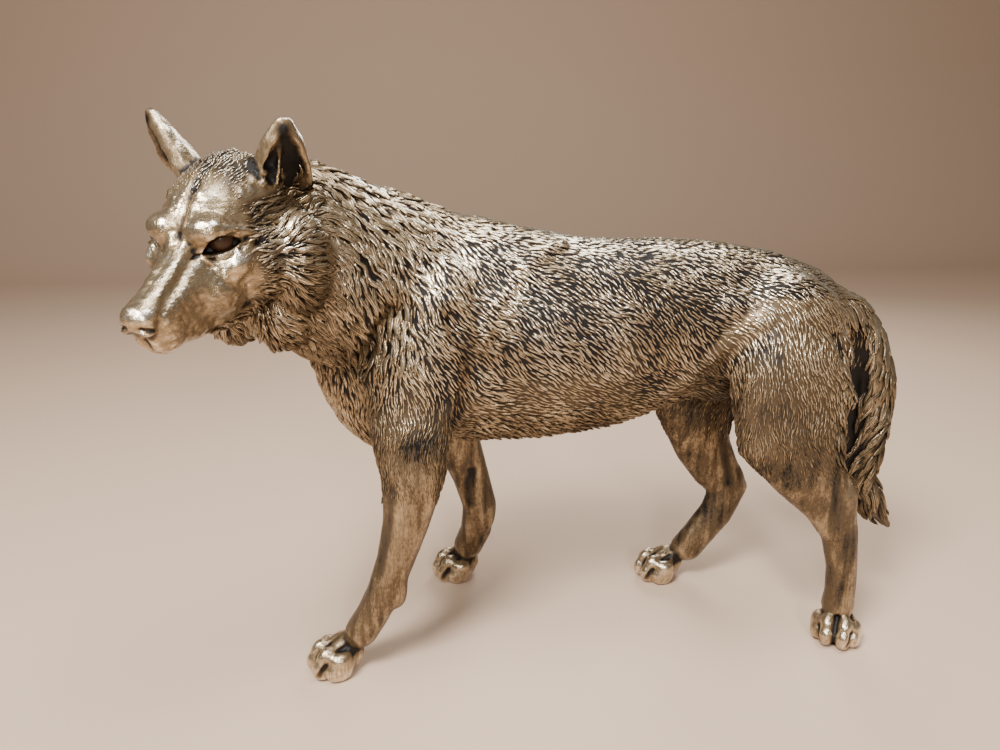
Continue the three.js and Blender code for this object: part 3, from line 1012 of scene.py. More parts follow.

# %% [markdown]
# The crest number says how far a place stands out. It is low wherever the sculptor cut a
# groove: between the toes, around the lids and lips, inside the ears and in the slot beside
# the tail. Wax stays there. It is lowered too as painted shade on the lower legs' front and
# back edges and on the web behind the tail. "comb" is the place squeezed along the hair, so
# that noise read from it makes brush marks.

# %% Crests, grooves and brush marks
EAR_DEPTH = [(34, 45.4, 54), (31.3, 50, 40), (27, 52, 28), (25.2, 50, 20), (27.5, 42, 12)]
MIDDLE_GROOVE = [(0, -15, 11), (0, -5.2, 24), (0, 3, 29.6), (0, 13.6, 35.2), (0, 27, 40)]
DARK_FACE_LINES = [
    (LIP_LINE, 0.75, 2.25, 0.9), ([(4.4, -62.5, -18.4), (9, -57, -20)], 0.75, 2.25, 0.9),
    (MIDDLE_GROOVE, 1.1, 3.3, 0.75), ([(13.4, -13.6, 2), (16, -11.6, 0)], 0.7, 2.1, 0.6),
    ([(0, -60, -24), (5, -57.5, -25)], 1.8, 5.4, 0.8),
]
crest_and_shade = 0.62 - 0.9 * smoothstep(hollow, 0.18, 1.1) + 0.25 * smoothstep(-hollow, 0.05, 1.0)
crest_and_shade = np.clip(crest_and_shade, 0, 1) * (1 - fur * (0.92 - 0.50 * warm))
crest_and_shade *= 1 - 0.35 * leg_share * smoothstep(streaks, 0.45, 1.6) * low_leg
# Painted shade: the lower legs' front and back edges, turned away from the side, are darker.
crest_and_shade *= 1 - 0.40 * leg_share * smoothstep(np.abs(normal[:, 1]), 0.55, 0.95) * low_leg
for _, _, stops in LEG_GROOVES:
    crest_and_shade *= 1 - 0.55 * near_line(body_place, stops, 2, 6.5) * leg_share
crest_and_shade = np.maximum(crest_and_shade, 0.32 * flank_fold)
ear_dark = near_line(ear_fold(head_local), EAR_DEPTH, 1.2, 5.5) * ear_share
# Ear cups and the thigh's slot keep wax; on the web behind the tail the same mark is painted shade.
crest_and_shade *= (1 - 0.25 * inside_ear) * (1 - 0.85 * ear_dark) * (1 - 0.92 * slot_wax_and_shade)
for name, (middle, axes) in paw_places.items():
    local = folded((place - middle) @ axes.T / MM)
    for _, _, stops in TOE_GAPS:
        crest_and_shade *= 1 - 0.75 * near_line(local, stops, 0.9, 2.8) * share_of[name]
gap, depth = lid_edge(head_fold)
crest_and_shade *= 1 - smoothstep(gap, 0.9, -0.2) * (depth > -1) * (depth < 9.5) * (head_share > 0.3)
for stops, inner, outer, strength in DARK_FACE_LINES:
    crest_and_shade *= 1 - strength * near_line(head_fold, stops, inner, outer) * (head_share > 0.3)
comb = body_place * (1.8, 1.8, 0.2)
for chosen, points, squeeze in (
    (share_of["trunk"] > 0.5, body_place, (0.6, 0.35, 0.6)), (head_share > 0.5, head_local, (1.4, 0.25, 1.4)),
):
    comb[chosen] = (points * squeeze)[chosen]
print("crest_and_shade", crest_and_shade.mean().round(3), "comb", comb.shape)

# %% Meshes from arrays
def add_thing(name, data):
    """A new object in the scene, holding a mesh, a lamp or a camera."""
    thing = bpy.data.objects.new(name, data)
    bpy.context.scene.collection.objects.link(thing)
    return thing


def mesh_from(name, place, triangles):
    """A smooth-shaded mesh object from corner places and triangles."""
    mesh = bpy.data.meshes.new(name)
    mesh.vertices.add(len(place))
    mesh.vertices.foreach_set("co", np.ascontiguousarray(place, np.float32).reshape(-1))
    mesh.loops.add(3 * len(triangles))
    mesh.loops.foreach_set("vertex_index", np.ascontiguousarray(triangles, np.int32).reshape(-1))
    mesh.polygons.add(len(triangles))
    mesh.polygons.foreach_set("loop_start", np.arange(len(triangles), dtype=np.int32) * 3)
    mesh.polygons.foreach_set("use_smooth", np.ones(len(triangles), bool))
    mesh.update(calc_edges=True)
    return add_thing(name, mesh)


def paint(thing, name, values):
    """A number or a vector for every corner of a mesh, by name."""
    values = np.asarray(values, np.float32)
    kind, field = ("FLOAT", "value") if values.ndim == 1 else ("FLOAT_VECTOR", "vector")
    layer = thing.data.attributes.new(name, kind, "POINT")
    layer.data.foreach_set(field, np.ascontiguousarray(values).reshape(-1))


skin = mesh_from("skin", place, triangles)
for label, values in {"gold_and_shade": gold_and_shade, "stream": stream, "outward": normal, "comb": comb}.items():
    paint(skin, label, values)

bpy.context.view_layer.objects.active = skin
skin.select_set(True)
skin.data.uv_layers.new(name="OFBake")
bpy.ops.object.mode_set(mode="EDIT")
bpy.ops.mesh.select_all(action="SELECT")
bpy.ops.uv.smart_project(angle_limit=1.15, island_margin=0.004, scale_to_bounds=True)
bpy.ops.object.mode_set(mode="OBJECT")
loop_uv = np.empty(len(skin.data.loops) * 2, np.float32)
skin.data.uv_layers["OFBake"].uv.foreach_get("vector", loop_uv)
loop_uv = loop_uv.reshape(-1, 2)
corner_uv = np.zeros((len(place), 2))
corner_uv[triangles.reshape(-1)] = loop_uv
print("skin", len(skin.data.vertices), "corners,", len(skin.data.polygons), "faces")

# %% [markdown]
# ## Node trees from a few lines
#
# Shader trees and geometry trees are built alike: a node, its settings, then a value or
# a link for each socket. One small class does that. A second class wraps a socket so
# that shader arithmetic reads as ordinary arithmetic.

# %% Building trees
class Tree:
    """Adds nodes to a tree. A socket is given as a name or a number."""

    def __init__(self, tree):
        self.tree = tree

    def fill(self, node, sockets):
        """Each socket gets a value, or a link from another node."""
        for name, value in sockets.items():
            value = value.socket if isinstance(value, Num) else value
            if isinstance(value, bpy.types.NodeSocket):
                self.tree.links.new(value, node.inputs[name])
            else:
                node.inputs[name].default_value = value

    def add(self, kind, settings=None, sockets=None, out=0):
        node = self.tree.nodes.new(kind)
        for name, value in (settings or {}).items():
            setattr(node, name, value)
        self.fill(node, sockets or {})
        return node.outputs[out]

    def num(self, socket):
        return Num(self, socket)


class Num:
    """A shader number that can be added, multiplied and so on."""

    def __init__(self, tree, socket):
        self.tree = tree
        self.socket = socket

    def math(self, kind, one, other=0.0, clamp=False):
        settings = {"operation": kind, "use_clamp": clamp}
        return Num(self.tree, self.tree.add("ShaderNodeMath", settings, {0: one, 1: other}))

    def __add__(self, other):
        return self.math("ADD", self, other)

    __radd__ = __add__

    def __mul__(self, other):
        return self.math("MULTIPLY", self, other)

    __rmul__ = __mul__

    def __sub__(self, other):
        return self.math("SUBTRACT", self, other)

    def __rsub__(self, other):
        return self.math("SUBTRACT", other, self)

    def clamp(self):
        return self.math("ADD", self, 0.0, True)


# %% [markdown]
# ## The fine hair of the head
#
# On cheeks and crown the hair is modelled as short separate strokes, like the marks of
# a sculptor's loop tool. One stroke is a slim ridge: three corners round, pointed at
# both ends, its root sunk in the skin and its tip lying on the next one. A geometry tree
# scatters thousands over the skin, lays each along the stream, and makes them one mesh.

# %% One stroke
def stroke_mesh(name, bend):
    """A unit stroke along Y, one wide and one high, bent sideways by a fraction."""
    stations = [(0.14, 0.62, 0.45), (0.42, 1.0, 1.0), (0.74, 0.72, 0.95)]
    place, shine = [(0, 0, -0.45)], [0.0]
    for along_y, wide, high in stations:
        middle = bend * math.sin(math.pi * along_y)
        left, right = middle - wide / 2, middle + wide / 2
        place += [(left, along_y, -0.25), (middle, along_y, high), (right, along_y, -0.25)]
        shine += [0.12, 0.35 + 0.65 * high, 0.12]
    place.append((bend * 0.3, 1, 0.35))
    shine.append(0.55)
    faces = [(0, 2, 1), (0, 3, 2), (0, 1, 3)]
    for ring in (1, 4):
        for step in range(3):
            here, there = ring + step, ring + (step + 1) % 3
            faces += [(here, there, there + 3), (here, there + 3, here + 3)]
    faces += [(7, 8, 10), (8, 9, 10), (9, 7, 10)]
    thing = mesh_from(name, np.array(place), np.array(faces))
    paint(thing, "crest_and_shade", shine)
    paint(thing, "patch", np.array([(spot[0], spot[1] - 0.5, 0) for spot in place]))
    bpy.context.scene.collection.objects.unlink(thing)
    return thing


strokes = [stroke_mesh(f"stroke_{index}", bend) for index, bend in enumerate((-0.75, 0.1, 0.7))]

# %% The tree that scatters strokes
BAKE_PATCH = 0.003


def scatter_tree():
    """Named inputs: what to scatter over, the spacing, the size, the seed and the finish."""
    group = bpy.data.node_groups.new("short coat", "GeometryNodeTree")
    group.interface.new_socket("Geometry", in_out="INPUT", socket_type="NodeSocketGeometry")
    for name, kind, value in (
        ("Spacing", "NodeSocketFloat", 0.0022), ("Length", "NodeSocketFloat", 0.007),
        ("Width", "NodeSocketFloat", 0.002), ("Height", "NodeSocketFloat", 0.001),
        ("Seed", "NodeSocketInt", SEED),
    ):
        group.interface.new_socket(name, in_out="INPUT", socket_type=kind).default_value = value
    group.interface.new_socket("Finish", in_out="INPUT", socket_type="NodeSocketMaterial")
    group.interface.new_socket("Geometry", in_out="OUTPUT", socket_type="NodeSocketGeometry")
    tree = Tree(group)
    source = group.nodes.new("NodeGroupInput").outputs

    def named(name, kind="FLOAT"):
        return tree.add("GeometryNodeInputNamedAttribute", {"data_type": kind}, {"Name": name})

    def maths(kind, one, other):
        return tree.add("ShaderNodeMath", {"operation": kind}, {0: one, 1: other})

    def vectors(kind, one, other):
        return tree.add("ShaderNodeVectorMath", {"operation": kind}, {0: one, 1: other})

    spots = tree.add(
        "GeometryNodeDistributePointsOnFaces", {"distribute_method": "POISSON"},
        {"Mesh": source["Geometry"], "Distance Min": source["Spacing"],
         "Density Max": 400000.0, "Density Factor": named("growth"), "Seed": source["Seed"]},
    )
    jitter = tree.add(
        "FunctionNodeRandomValue", {"data_type": "FLOAT_VECTOR"},
        {0: (-0.12, -0.12, -0.12), 1: (0.12, 0.12, 0.12), "Seed": source["Seed"]},
    )
    way = vectors("ADD", named("stream", "FLOAT_VECTOR"), jitter)
    turn = tree.add(
        "FunctionNodeAxesToRotation", {"primary_axis": "Z", "secondary_axis": "Y"},
        {0: named("outward", "FLOAT_VECTOR"), 1: way},
    )
    grow = tree.add("FunctionNodeRandomValue", {"data_type": "FLOAT"}, {2: 0.75, 3: 1.3, "Seed": 11}, out=1)
    grow = maths("MULTIPLY", grow, named("size"))
    size = tree.add(
        "ShaderNodeCombineXYZ", None,
        {0: maths("MULTIPLY", source["Width"], grow), 1: maths("MULTIPLY", source["Length"], grow),
         2: maths("MULTIPLY", source["Height"], grow)},
    )
    choices = group.nodes.new("GeometryNodeJoinGeometry")
    for stroke in strokes:
        shape = tree.add("GeometryNodeObjectInfo", None, {"Object": stroke}, out="Geometry")
        wrapped = tree.add("GeometryNodeGeometryToInstance", None, {"Geometry": shape})
        group.links.new(wrapped, choices.inputs[0])
    choice = tree.add("FunctionNodeRandomValue", {"data_type": "INT"}, {4: 0, 5: 2, "Seed": 5}, out=2)
    placed = tree.add(
        "GeometryNodeInstanceOnPoints", None,
        {"Points": spots, "Instance": choices.outputs[0], "Pick Instance": True, "Instance Index": choice,
         "Rotation": turn, "Scale": size},
    )
    real = tree.add("GeometryNodeRealizeInstances", None, {"Geometry": placed})
    patch = named("patch", "FLOAT_VECTOR")
    patch = tree.add("ShaderNodeVectorMath", {"operation": "SCALE"}, {0: patch, "Scale": BAKE_PATCH})
    bake = vectors("ADD", named("OFBake", "FLOAT_VECTOR"), patch)
    bake = vectors("MAXIMUM", vectors("MINIMUM", bake, (0.9995, 0.9995, 0)), (0.0005, 0.0005, 0))
    mapped = tree.add(
        "GeometryNodeStoreNamedAttribute", {"data_type": "FLOAT2", "domain": "CORNER"},
        {"Geometry": real, "Name": "OFBake", "Value": bake},
    )
    done = tree.add("GeometryNodeSetMaterial", None, {"Geometry": mapped, "Material": source["Finish"]})
    group.links.new(done, group.nodes.new("NodeGroupOutput").inputs[0])
    return group


print("strokes", len(strokes), "shapes of", len(strokes[0].data.polygons), "faces")

# %% [markdown]
# ## The finish
#
# Skin and strands share one material. Two numbers painted on every corner steer it:
# how much gold that part of the wolf carries, with painted shade taken off it, and how far a
# spot stands out from its surroundings, lowered as painted shade on the legs' edges and the
# web behind the tail. Dark brown wax fills what lies low, bronze shows between, and bright
# gold lies on the crests, nearly cream where it is most rubbed; that cream is also a painted
# highlight. Noise read along the comb streaks the paint on bare skin as a brush would.

# %% Antique gold and the eye
def new_finish(name):
    finish = bpy.data.materials.new(name)
    finish.use_nodes = True
    return finish, Tree(finish.node_tree), finish.node_tree.nodes["Principled BSDF"]


def blend(tree, share, one, other):
    """A colour between two, by a number from 0 to 1."""
    settings = {"data_type": "RGBA"}
    return tree.add("ShaderNodeMix", settings, {0: share, 6: one, 7: other}, out=2)


def painted(tree, name):
    return tree.num(tree.add("ShaderNodeAttribute", {"attribute_name": name}, out="Fac"))


WAX = (0.007, 0.005, 0.004, 1)
BRONZE = (0.125, 0.080, 0.040, 1)
GOLD = (0.46, 0.345, 0.205, 1)
# Pale gold where the paint is most rubbed, used also as a painted highlight along the crests.
PALE_GOLD_AND_HIGHLIGHT = (0.98, 0.90, 0.74, 1)


def gold_finish():
    finish, tree, shader = new_finish("antique_gold")
    place_socket = tree.add("ShaderNodeTexCoord", out="Object")
    gold_and_shade, crest_and_shade = painted(tree, "gold_and_shade"), painted(tree, "crest_and_shade")

    def noise(scale, detail, vector=place_socket):
        sockets = {"Vector": vector, "Scale": scale, "Detail": detail}
        return tree.num(tree.add("ShaderNodeTexNoise", None, sockets, out=0))

    broad, small = noise(26.0, 3.0), noise(420.0, 3.0)
    comb = tree.add("ShaderNodeAttribute", {"attribute_name": "comb"}, out="Vector")
    hairs, smears = noise(1.1, 2.0, comb), noise(0.28, 2.0, comb)
    tone = crest_and_shade * (gold_and_shade * 0.85 + 0.48 + (broad - 0.5) * 0.5 + (small - 0.5) * 0.5) - 0.10
    tone = tone + ((hairs - 0.5) * 0.55 + (smears - 0.5) * 0.5) * crest_and_shade
    low = (tone * 3.6).clamp()
    middle = ((tone - 0.26) * 2.8).clamp()
    # The highest tones turn cream: rubbed gold, and a painted highlight on the crests.
    high = ((tone - 0.60) * 2.8).clamp()
    colour = blend(tree, low, WAX, BRONZE)
    colour = blend(tree, middle, colour, GOLD)
    colour = blend(tree, high, colour, PALE_GOLD_AND_HIGHLIGHT)
    height = noise(900.0, 2.0) * 0.5 + noise(260.0, 2.0) + hairs
    bump = tree.add("ShaderNodeBump", None, {"Strength": 0.5, "Distance": 0.0004, "Height": height})
    tree.fill(shader, {
        "Base Color": colour, "Metallic": low * 0.65 + middle * 0.3, "Normal": bump,
        "Roughness": 0.45 - middle * 0.21 + (small - 0.5) * 0.12, "Specular IOR Level": 0.2,
        "Coat Weight": low * 0.3 + middle * 0.5, "Coat Roughness": 0.18,
    })
    return finish


def plain_finish(name, sockets):
    finish, tree, shader = new_finish(name)
    tree.fill(shader, sockets)
    return finish


antique_gold = gold_finish()
brown_eye = plain_finish("brown_eye", {
    "Base Color": (0.040, 0.018, 0.008, 1), "Roughness": 0.5, "Specular IOR Level": 0.15, "Coat Weight": 0.3,
})

# %% [markdown]
# ## Scattering the fine hair
#
# The tree runs as a modifier on the skin, reads how thickly and how large the hair grows
# there, and its result is kept as a plain mesh. The hair is smallest towards the face, and
# none grows in the ears' cups or next to the lids.

# %% Running the tree
tree_group = scatter_tree()
socket_ids = {
    item.name: item.identifier for item in tree_group.interface.items_tree if item.in_out == "INPUT"
}


def scattered(name, growth, size, **inputs):
    """Strokes where growth is over 0, as one mesh object."""
    paint(skin, "growth", growth)
    paint(skin, "size", size)
    modifier = skin.modifiers.new("coat", "NODES")
    modifier.node_group = tree_group
    for label, value in {**inputs, "Seed": SEED, "Finish": antique_gold}.items():
        modifier[socket_ids[label]] = value
    reading = skin.evaluated_get(bpy.context.evaluated_depsgraph_get())
    mesh = bpy.data.meshes.new_from_object(reading)
    skin.modifiers.remove(modifier)
    mesh.shade_smooth()
    for label in ("growth", "size"):
        skin.data.attributes.remove(skin.data.attributes[label])
    print(name, len(mesh.polygons), "faces")
    return add_thing(name, mesh)


fine_hair = np.clip(fur * head_share * 1.3 + 0.75 * head_share * cheek, 0, 1) * (1 - ear_cup)
fine_hair *= (gap > 3.5) | (depth < -3)
FINE_SIZES = {"Spacing": 0.00130, "Length": 0.0050, "Width": 0.0009, "Height": 0.0005}
coat_pieces = [scattered("coat_fine_0", fine_hair, 0.6 + 0.4 * behind, **FINE_SIZES)]

# %% [markdown]
# ## Strokes and locks in rows
#
# On the body each stroke of hair is a slim ridge that follows the stream, and strokes lie
# side by side in staggered rows with a dark line between. Random scattering would
# heap them up. So roots are taken one by one, and each marks an oval around itself, long
# along the stream and narrow across it, where no other root may stand. The marks
# are kept in a block of small cells.

# %% Choosing the roots
def skin_spots(count, maker):
    """Random places all over the skin, and the nearest of the net's corners."""
    area = np.linalg.norm(facings(place, triangles), axis=1)
    pick = maker.choice(len(triangles), count, p=area / area.sum())
    mix = maker.dirichlet((1, 1, 1), count)
    spots = (place[triangles[pick]] * mix[:, :, None]).sum(axis=1)
    return spots, triangles[pick, mix.argmax(axis=1)]


TRIES = 300000
CELL_SHARE, CELL_OVERLAP = 0.4, 0.8


def roots_for(weight, long_gap, wide_gap, seed):
    """Root places and their corners, at least these gaps apart along and across the stream."""
    maker = np.random.default_rng(seed)
    spots, corner = skin_spots(TRIES, maker)
    grows = weight[corner] > maker.uniform(0.02, 1, TRIES)
    spots, corner = spots[grows], corner[grows]
    cell = wide_gap * CELL_SHARE
    low = place.min(axis=0) - 0.02
    size = ((place.max(axis=0) + 0.02 - low) / cell).astype(int) + 1
    taken = np.zeros(int(size.prod()), bool)
    strides = np.array([size[1] * size[2], size[2], 1])
    here = ((spots - low) / cell).astype(int) @ strides
    steps = [np.arange(-gap, gap + cell / 2, cell * CELL_OVERLAP) for gap in (long_gap, wide_gap)]
    oval = np.array([
        (ahead, aside, up) for ahead in steps[0] for aside in steps[1] for up in (-cell, 0, cell)
        if (ahead / long_gap) ** 2 + (aside / wide_gap) ** 2 <= 1
    ])
    ways, outs = stream[corner], normal[corner]
    axes = np.stack([ways, np.cross(outs, ways), outs], axis=1)
    kept = []
    for index in range(len(spots)):
        if not taken[here[index]]:
            kept.append(index)
            marks = spots[index] + oval @ axes[index]
            taken[((marks - low) / cell).astype(int) @ strides] = True
    return spots[kept], corner[kept]


finder = KDTree(len(place))
for index, spot in enumerate(place.tolist()):
    finder.insert(spot, index)
finder.balance()


def nearest_corner(points):
    return np.array([finder.find(spot)[1] for spot in points.tolist()])


# %% [markdown]
# A strand starts at its root and follows the stream in short steps, waving a little, and
# rises off the skin towards its point. Around that path goes a band. A stroke has a plain
# band with one ridge. A lock of the mane or tail has three ridges, so that it reads
# as several hairs. All strands of a piece are one mesh, worked out together as arrays.

# %% Paths, faces and strands
STATIONS = np.array([0.0, 0.13, 0.30, 0.50, 0.70, 0.87, 1.0])
RINGS = len(STATIONS) - 1
WIDE = np.array([0.45, 0.80, 1.0, 0.96, 0.74, 0.42])
HIGH = np.array([0.15, 0.65, 1.0, 1.0, 0.85, 0.6])
ROOT_SUNK = 0.4 * MM
PLAIN_BAND = np.array([(-1, -0.3, 0.10), (-0.1, 1.0, 1.0), (1, -0.3, 0.10)])
RICH_BAND = np.array([
    (-1, -0.25, 0.05), (-0.64, 0.70, 0.80), (-0.34, 0.45, 0.20), (0, 1.0, 1.0),
    (0.34, 0.48, 0.22), (0.66, 0.68, 0.80), (1, -0.25, 0.05), (0, -0.7, 0.0),
])


def strand_paths(spot, long, rise, wave, maker):
    """Each strand's place, and the directions across it and off the skin, at every station."""
    count = len(spot)
    phase, curl = maker.uniform(0, 2 * math.pi, count), maker.normal(0, 0.5 * wave, count)
    path, sides, outs = [], [], []
    heading = None
    for station, part in enumerate(STATIONS):
        index = nearest_corner(spot)
        out, way = normal[index], stream[index]
        height = ((spot - place[index]) * out).sum(axis=1)
        target = rise * part ** 1.4 - ROOT_SUNK * (1 - part)
        spot = spot + (target - height)[:, None] * out
        swing = wave * np.sin(phase + 5.2 * part) + curl * part
        turned_way = way + swing[:, None] * np.cross(out, way)
        heading = turned_way if heading is None else 0.45 * heading + 0.55 * turned_way
        heading = on_skin(heading, out)
        path.append(spot.copy())
        sides.append(np.cross(out, heading))
        outs.append(out)
        if station < RINGS:
            spot = spot + heading * ((STATIONS[station + 1] - part) * long)[:, None]
    return path, sides, outs


def strand_faces(spokes):
    """The triangles of one strand: corner 0 is its root, then rings of corners, then the tip."""
    faces, tip = [], RINGS * spokes + 1
    for spoke in range(spokes):
        following = (spoke + 1) % spokes
        faces.append((0, 1 + spoke, 1 + following))
        for station in range(RINGS - 1):
            here, there = 1 + spokes * station + spoke, 1 + spokes * station + following
            faces += [(here, here + spokes, there), (there, here + spokes, there + spokes)]
        faces.append((tip - spokes + spoke, tip, tip - spokes + following))
    return np.array(faces), tip


def strand_mesh(name, spot, roots, size, lift, wave, maker, bands, scale_at):
    """One mesh of strands from root places and the net's corners next to them."""
    count, spokes = len(roots), len(bands)
    scale = maker.uniform(0.8, 1.2, count) * (1 if scale_at is None else scale_at[roots])
    long = size[0] * MM * scale * maker.uniform(0.85, 1.2, count)
    wide = size[1] * MM * scale * 0.5
    high = size[2] * MM * scale
    path, sides, outs = strand_paths(spot, long, lift * MM * scale, wave, maker)
    uneven = maker.uniform(0.8, 1.15, (count, spokes))
    corners, shine = [path[0] - outs[0] * 0.6 * MM], [np.zeros(count)]
    for station in range(RINGS):
        rooted = min(1, 0.25 + 1.6 * STATIONS[station])
        for spoke, (aside, rise, bright) in enumerate(bands):
            across = aside * wide * WIDE[station]
            up = rise * high * HIGH[station] * uneven[:, spoke]
            corners.append(path[station] + sides[station] * across[:, None] + outs[station] * up[:, None])
            shine.append(np.full(count, bright * rooted))
    corners.append(path[RINGS])
    shine.append(np.full(count, 0.7))
    faces, tip = strand_faces(spokes)
    every = np.stack(corners, axis=1)
    all_faces = (faces[None] + (tip + 1) * np.arange(count)[:, None, None]).reshape(-1, 3)
    thing = mesh_from(name, every.reshape(-1, 3), all_faces)
    paint(thing, "crest_and_shade", np.stack(shine, axis=1).reshape(-1))
    paint(thing, "gold_and_shade", np.repeat(gold_and_shade[roots] + maker.normal(0, 0.10, count), tip + 1))
    patch = np.stack([
        np.concatenate([[0], np.tile(bands[:, 0], RINGS), [0]]) * 0.5,
        np.concatenate([[0], np.repeat(STATIONS[:RINGS], spokes), [1]]) - 0.5,
    ], axis=1)
    spread = (corner_uv[roots][:, None] + patch[None] * BAKE_PATCH).reshape(-1, 2)
    spread = np.clip(spread[all_faces.reshape(-1)], 0.0005, 0.9995)
    layer = thing.data.uv_layers.new(name="OFBake")
    layer.uv.foreach_set("vector", spread.astype(np.float32).reshape(-1))
    thing.data.materials.append(antique_gold)
    print(name, count, "strands,", len(all_faces), "faces")
    coat_pieces.append(thing)


def strands(name, weight, gaps, size, lift, wave, seed, bands, scale_at=None, parts=1):
    """Rows of strands, from nose to tail in some parts so that no mesh grows too heavy.

    Gaps are along and across the stream, sizes are length, width and height, in millimetres.
    """
    spots, corners = roots_for(weight, gaps[0] * MM, gaps[1] * MM, seed)
    for number, chosen in enumerate(np.array_split(np.argsort(spots[:, 1]), parts)):
        label = f"{name}_{number}" if parts > 1 else name
        maker = np.random.default_rng(seed + 100 + number)
        strand_mesh(label, spots[chosen], corners[chosen], size, lift, wave, maker, bands, scale_at)


# %% Where each kind grows
mane = share_of["neck"] * smoothstep(body_place[:, 1], 62, 36) * smoothstep(body_place[:, 2], 222, 240)
long_hair = smoothstep(fur - 0.8 * head_share, 0.25, 0.6) * (1 - 0.9 * mane) * (1 - 0.75 * slot_wax_and_shade)
long_hair *= 1 - 0.15 * flank_fold
long_hair *= 1 - share_of["tail"]
ruff = head_share * behind * smoothstep(high, 22, 4) * (1 - ear_cup)
throat = head_share * smoothstep(high, -34, -44) * smoothstep(back, -22, -6)
shoulder_line = near_line(body_fold, [(36, 110, 280), (45, 98, 266), (50, 84, 238)], 4.8, 8)
thigh_edge = near_line(body_fold, [(46, 343, 225), (51, 342, 190), (52, 339, 155)], 4.2, 7)
edges_weight = np.maximum(0.5 * shoulder_line, thigh_edge)
fringe = share_of["trunk"] * smoothstep(normal[:, 2], -0.45, -0.75) * band(body_place[:, 1], 150, 95)
tail_hair = share_of["tail"] * smoothstep(place[:, 2], 0.085, 0.102) * (1 - slot_wax_and_shade)
rear_cheek = head_share * smoothstep(back + 0.4 * aside, 26, 34) * smoothstep(high, 14, 2) * (1 - ear_cup)
stroke_size = (0.94 + 0.12 * waves(place, 0.05, 21)) * (0.55 + 0.45 * fur)
stroke_size += 0.30 * share_of["neck"] + 0.15 * shoulder_line
mane_size = 0.6 + 0.4 * mane
strands("strokes", long_hair, (4.6, 1.50), (8.4, 2.05, 1.05), 0.4, 0.2, 50, PLAIN_BAND, stroke_size, 4)
strands("locks_mane", mane, (9.0, 3.5), (18, 3.3, 2.5), 3.4, 0.55, 31, RICH_BAND, mane_size)
strands("locks_ruff", np.maximum(ruff, throat), (5.2, 1.8), (10.5, 2.0, 1.3), 1.5, 0.35, 32, PLAIN_BAND)
strands("locks_cheek", rear_cheek, (8.0, 3.0), (15, 3.2, 2.0), 3.4, 0.4, 36, RICH_BAND)
strands("locks_tail", tail_hair, (9, 3.1), (19, 3.6, 2.3), 2.2, 0.35, 33, RICH_BAND)
strands("locks_edges", edges_weight, (7, 2.6), (13, 2.7, 2.0), 2.4, 0.6, 34, PLAIN_BAND)
strands("locks_belly", fringe, (6, 2.6), (10, 2.4, 1.3), 3.2, 0.4, 35, PLAIN_BAND)

# %% [markdown]
# ## The eyes
#
# Each eye is a smooth ball set deep between the lids, as big as its CAD piece. It is
# painted dark brown and shines only a little.

# %% Two smooth balls
def eye_ball(name):
    low, high = (np.array(corner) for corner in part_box(name))
    shape = bmesh.new()
    bmesh.ops.create_icosphere(shape, subdivisions=4, radius=float((high - low).mean() / 2))
    mesh = bpy.data.meshes.new(name + "_ball")
    shape.to_mesh(mesh)
    shape.free()
    mesh.transform(Matrix.Translation(Vector((low + high) / 2)))
    mesh.shade_smooth()
    mesh.materials.append(brown_eye)
    return add_thing(name + "_ball", mesh)


eyes = {name: eye_ball(name) for name in EYES}

# %% Riding, replacing and slots
skin.data.materials.append(antique_gold)
paint(skin, "crest_and_shade", crest_and_shade)
for label in ("stream", "outward"):
    skin.data.attributes.remove(skin.data.attributes[label])
HELPERS = ("stream", "outward", "comb", "patch", "size", "growth", "id")
for thing in coat_pieces:
    for layer in [item.name for item in thing.data.attributes if item.name in HELPERS]:
        thing.data.attributes.remove(thing.data.attributes[layer])
for piece in (skin, *coat_pieces, *eyes.values()):
    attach(piece, "root")
for name in flesh_nodes:
    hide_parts(name)
for name, ball_piece in eyes.items():
    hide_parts(name)

# %% [markdown]
# ## Floor, light and camera
#
# A pale floor that sweeps up far behind, so that no horizon shows, and soft light from
# above and the front. A smaller light from the side puts sparkle on the hair's crests.
# The camera looks at the wolf's left side from a little in front of its shoulder, close
# enough that the head looms.

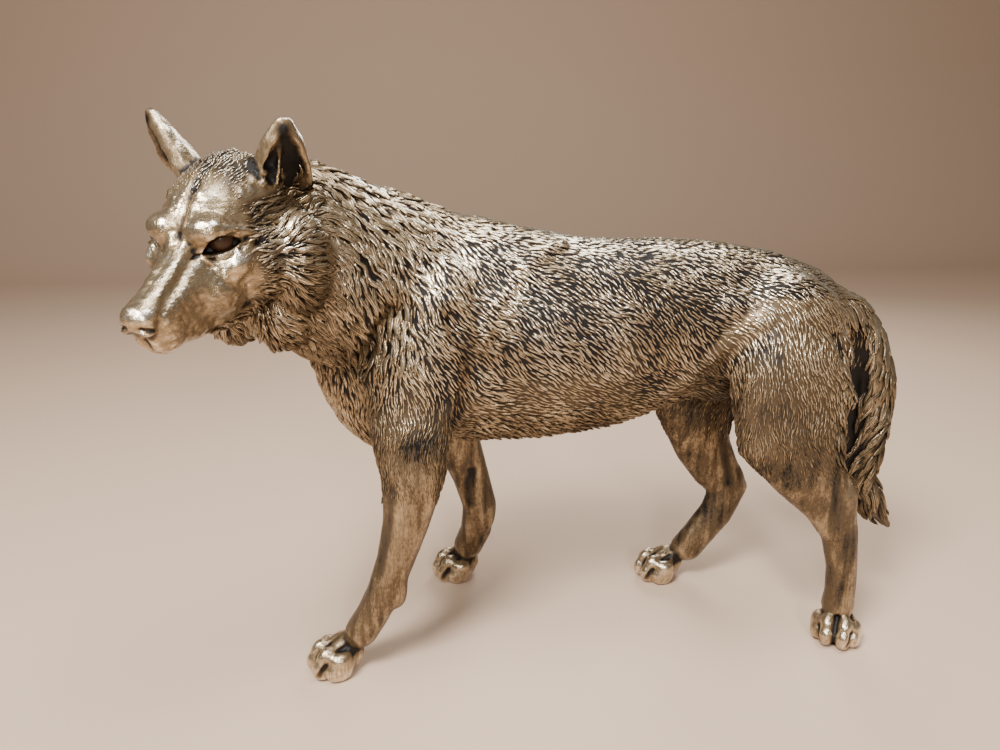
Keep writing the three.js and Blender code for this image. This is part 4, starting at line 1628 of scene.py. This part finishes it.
# %% Floor and lamps
FLOOR_REACH, BEND_AT, BEND, BACK_HEIGHT = 6.0, -1.8, 0.7, 2.4
BEND_STEPS = 16
LAMPS = [
    ("key", (0.75, -0.65, 1.35), (0, -0.05, 0.2), 0.5, 50),
    ("top", (0.15, 0.25, 1.6), (0, 0.05, 0.2), 0.7, 17),
    ("side", (1.3, 0.05, 0.75), (0, 0.05, 0.2), 0.2, 11),
    ("rim", (-1.1, 0.4, 0.9), (0, 0, 0.25), 0.6, 10),
]


def floor_sheet():
    """A flat sheet that curves up behind the wolf into a low wall."""
    profile = [(FLOOR_REACH, 0.0), (BEND_AT, 0.0)]
    for step in range(1, BEND_STEPS + 1):
        turn = math.radians(90 * step / BEND_STEPS)
        profile.append((BEND_AT - BEND * math.sin(turn), BEND - BEND * math.cos(turn)))
    profile.append((BEND_AT - BEND, BACK_HEIGHT))
    corners = [(across, side, up) for across, up in profile for side in (-FLOOR_REACH, FLOOR_REACH)]
    strips = [(2 * step + 1, 2 * step + 3, 2 * step + 2, 2 * step) for step in range(len(profile) - 1)]
    mesh = bpy.data.meshes.new("floor")
    mesh.from_pydata(corners, [], strips)
    mesh.shade_smooth()
    finish = plain_finish("pale_floor", {"Base Color": (0.54, 0.39, 0.275, 1), "Roughness": 0.75})
    mesh.materials.append(finish)
    floor = add_thing("floor", mesh)


def lights():
    """Warm light from everywhere, and four lamps: name, place, aim, size and watts."""
    world = bpy.data.worlds.new("studio")
    bpy.context.scene.world = world
    world.use_nodes = True
    back = world.node_tree.nodes["Background"]
    back.inputs["Color"].default_value = (0.69, 0.59, 0.51, 1)
    back.inputs["Strength"].default_value = 0.30
    for name, spot, aim, size, watts in LAMPS:
        light = bpy.data.lights.new(name, "AREA")
        light.size = size
        light.energy = watts
        lamp = add_thing(name, light)
        lamp.location = spot
        lamp.rotation_euler = (Vector(aim) - Vector(spot)).to_track_quat("-Z", "Y").to_euler()


floor_sheet()
lights()

# %% The camera
CAMERA_PLACE = (0.5151, -0.1221, 0.3611)
CAMERA_TILT, CAMERA_TURN = 74.1, 83.0
view = bpy.data.cameras.new("view")
view.lens = 28.8
view.sensor_width = 36
view.clip_start = 0.01
camera = add_thing("view", view)
camera.location = CAMERA_PLACE
camera.rotation_euler = (math.radians(CAMERA_TILT), 0, math.radians(CAMERA_TURN))
bpy.context.scene.camera = camera
